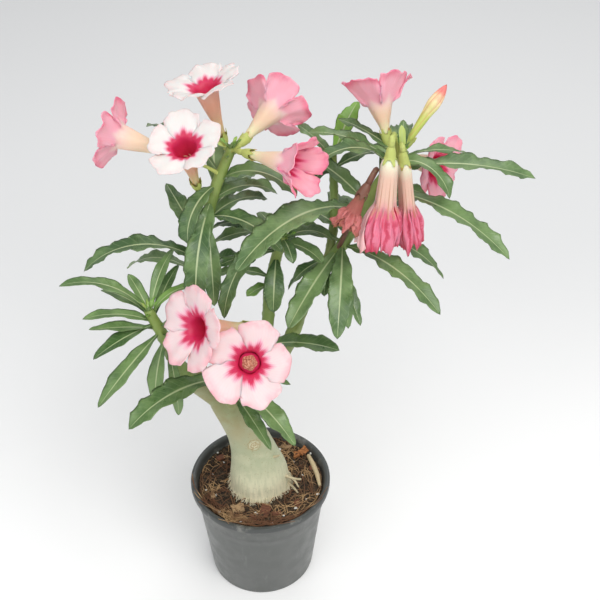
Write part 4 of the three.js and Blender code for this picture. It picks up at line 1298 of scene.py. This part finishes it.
def furled(u, v):
    level = v * (len(BUD_FORM) - 1)
    radius, share = eased(BUD_FORM, level)
    turn = 2 * math.pi * u
    ridge = 0.5 - 0.5 * math.cos(5 * turn)
    radius = max(0.05, radius) * (1 - 0.13 * min(1.0, max(0.0, share - 0.15) * 3) * ridge ** 2)
    turn += share * 1.6
    return base + axis * (share * BUD["tube"]) + spoke(side, other, turn) * radius


bud = sheet("bud_furled", 60, 60, furled)
silk, shader, place = finish_of("bud_silk")
grid = grid_of(place)
v = maths("ADD", grid["Y"], ranged(speckle(place, 140), 0.3, 0.7, -0.06, 0.06))
hue = mixed(ranged(v, 0.25, 0.55), (0.52, 0.6, 0.13, 1), (0.84, 0.68, 0.38, 1))
hue = mixed(ranged(v, 0.52, 0.8), hue, (0.84, 0.2, 0.18, 1))
hue = mixed(ranged(v, 0.93, 1.0, 0, 0.7), hue, (0.3, 0.1, 0.07, 1))
seams = maths("COSINE", times(grid["X"], 10 * math.pi))
hue = mixed(ranged(seams, -1.0, -0.75, 0.35, 0), hue, (0.66, 0.1, 0.1, 1))
coat(shader, hue, 0.45, speckle(place, 500, 3), 0.2, 0.0003)
dress(bud, "bud", silk, "bud")

# Stage
# A pale floor, soft light from above and the left, and the camera where the photographer stood,
# looking down on the plant.
CAMERA_PLACE = (0.0284, -0.5216, 0.6447)
CAMERA_PITCH = 37.53
CAMERA_LENS = 63
# The floor's colour at the back; towards the front it is painted lighter, as painted light.
FLOOR_HUE = (0.79, 0.795, 0.8, 1)
bpy.ops.object.select_all(action="DESELECT")
bpy.ops.mesh.primitive_plane_add(size=8, location=(0, 0, 0))
floor = named("pale_floor")
cloth, shader, place = finish_of("floor_cloth")
# The floor's colour is painted light: it goes from grey at the back to near white at the front,
# where more light falls.
near_floor_painted_light = ranged(parts_of(place)["Y"], 0.02, 0.45, 1, 0)
coat(shader, mixed(near_floor_painted_light, FLOOR_HUE, (0.92, 0.92, 0.92, 1)), 0.9, speckle(place, 60, 4), 0.05,
     0.0005)
floor.data.materials.append(cloth)


def softbox(name, place, aim, size, power, hue):
    """A square light that faces a point."""
    data = bpy.data.lights.new(name, "AREA")
    data.shape = "SQUARE"
    data.size = size
    data.energy = power
    data.color = hue
    light = placed(name, data)
    light.location = place
    light.rotation_euler = (Vector(aim) - Vector(place)).to_track_quat("-Z", "Y").to_euler()


softbox("key_light", (0.55, -1.0, 1.75), (0, -0.1, 0.2), 1.3, 26, (1, 0.99, 0.97))
softbox("fill_light", (-1.0, -1.2, 1.2), (0, 0, 0.2), 1.2, 9, (0.97, 0.98, 1))
softbox("back_light", (0.3, 1.0, 1.5), (0, 0, 0.2), 1.0, 5, (1, 1, 1))
world = bpy.data.worlds.new("soft_room")
world.use_nodes = True
room_light = world.node_tree.nodes["Background"].inputs
room_light["Color"].default_value = (0.88, 0.89, 0.9, 1)
room_light["Strength"].default_value = 0.55
bpy.context.scene.world = world
bpy.context.scene.view_settings.view_transform = "Standard"

camera_data = bpy.data.cameras.new("photo_view")
camera_data.lens = CAMERA_LENS
camera_data.sensor_width = 36
camera = placed("photo_view", camera_data)
camera.location = CAMERA_PLACE
camera.rotation_euler = (math.radians(90 - CAMERA_PITCH), 0, 0)
bpy.context.scene.camera = camera
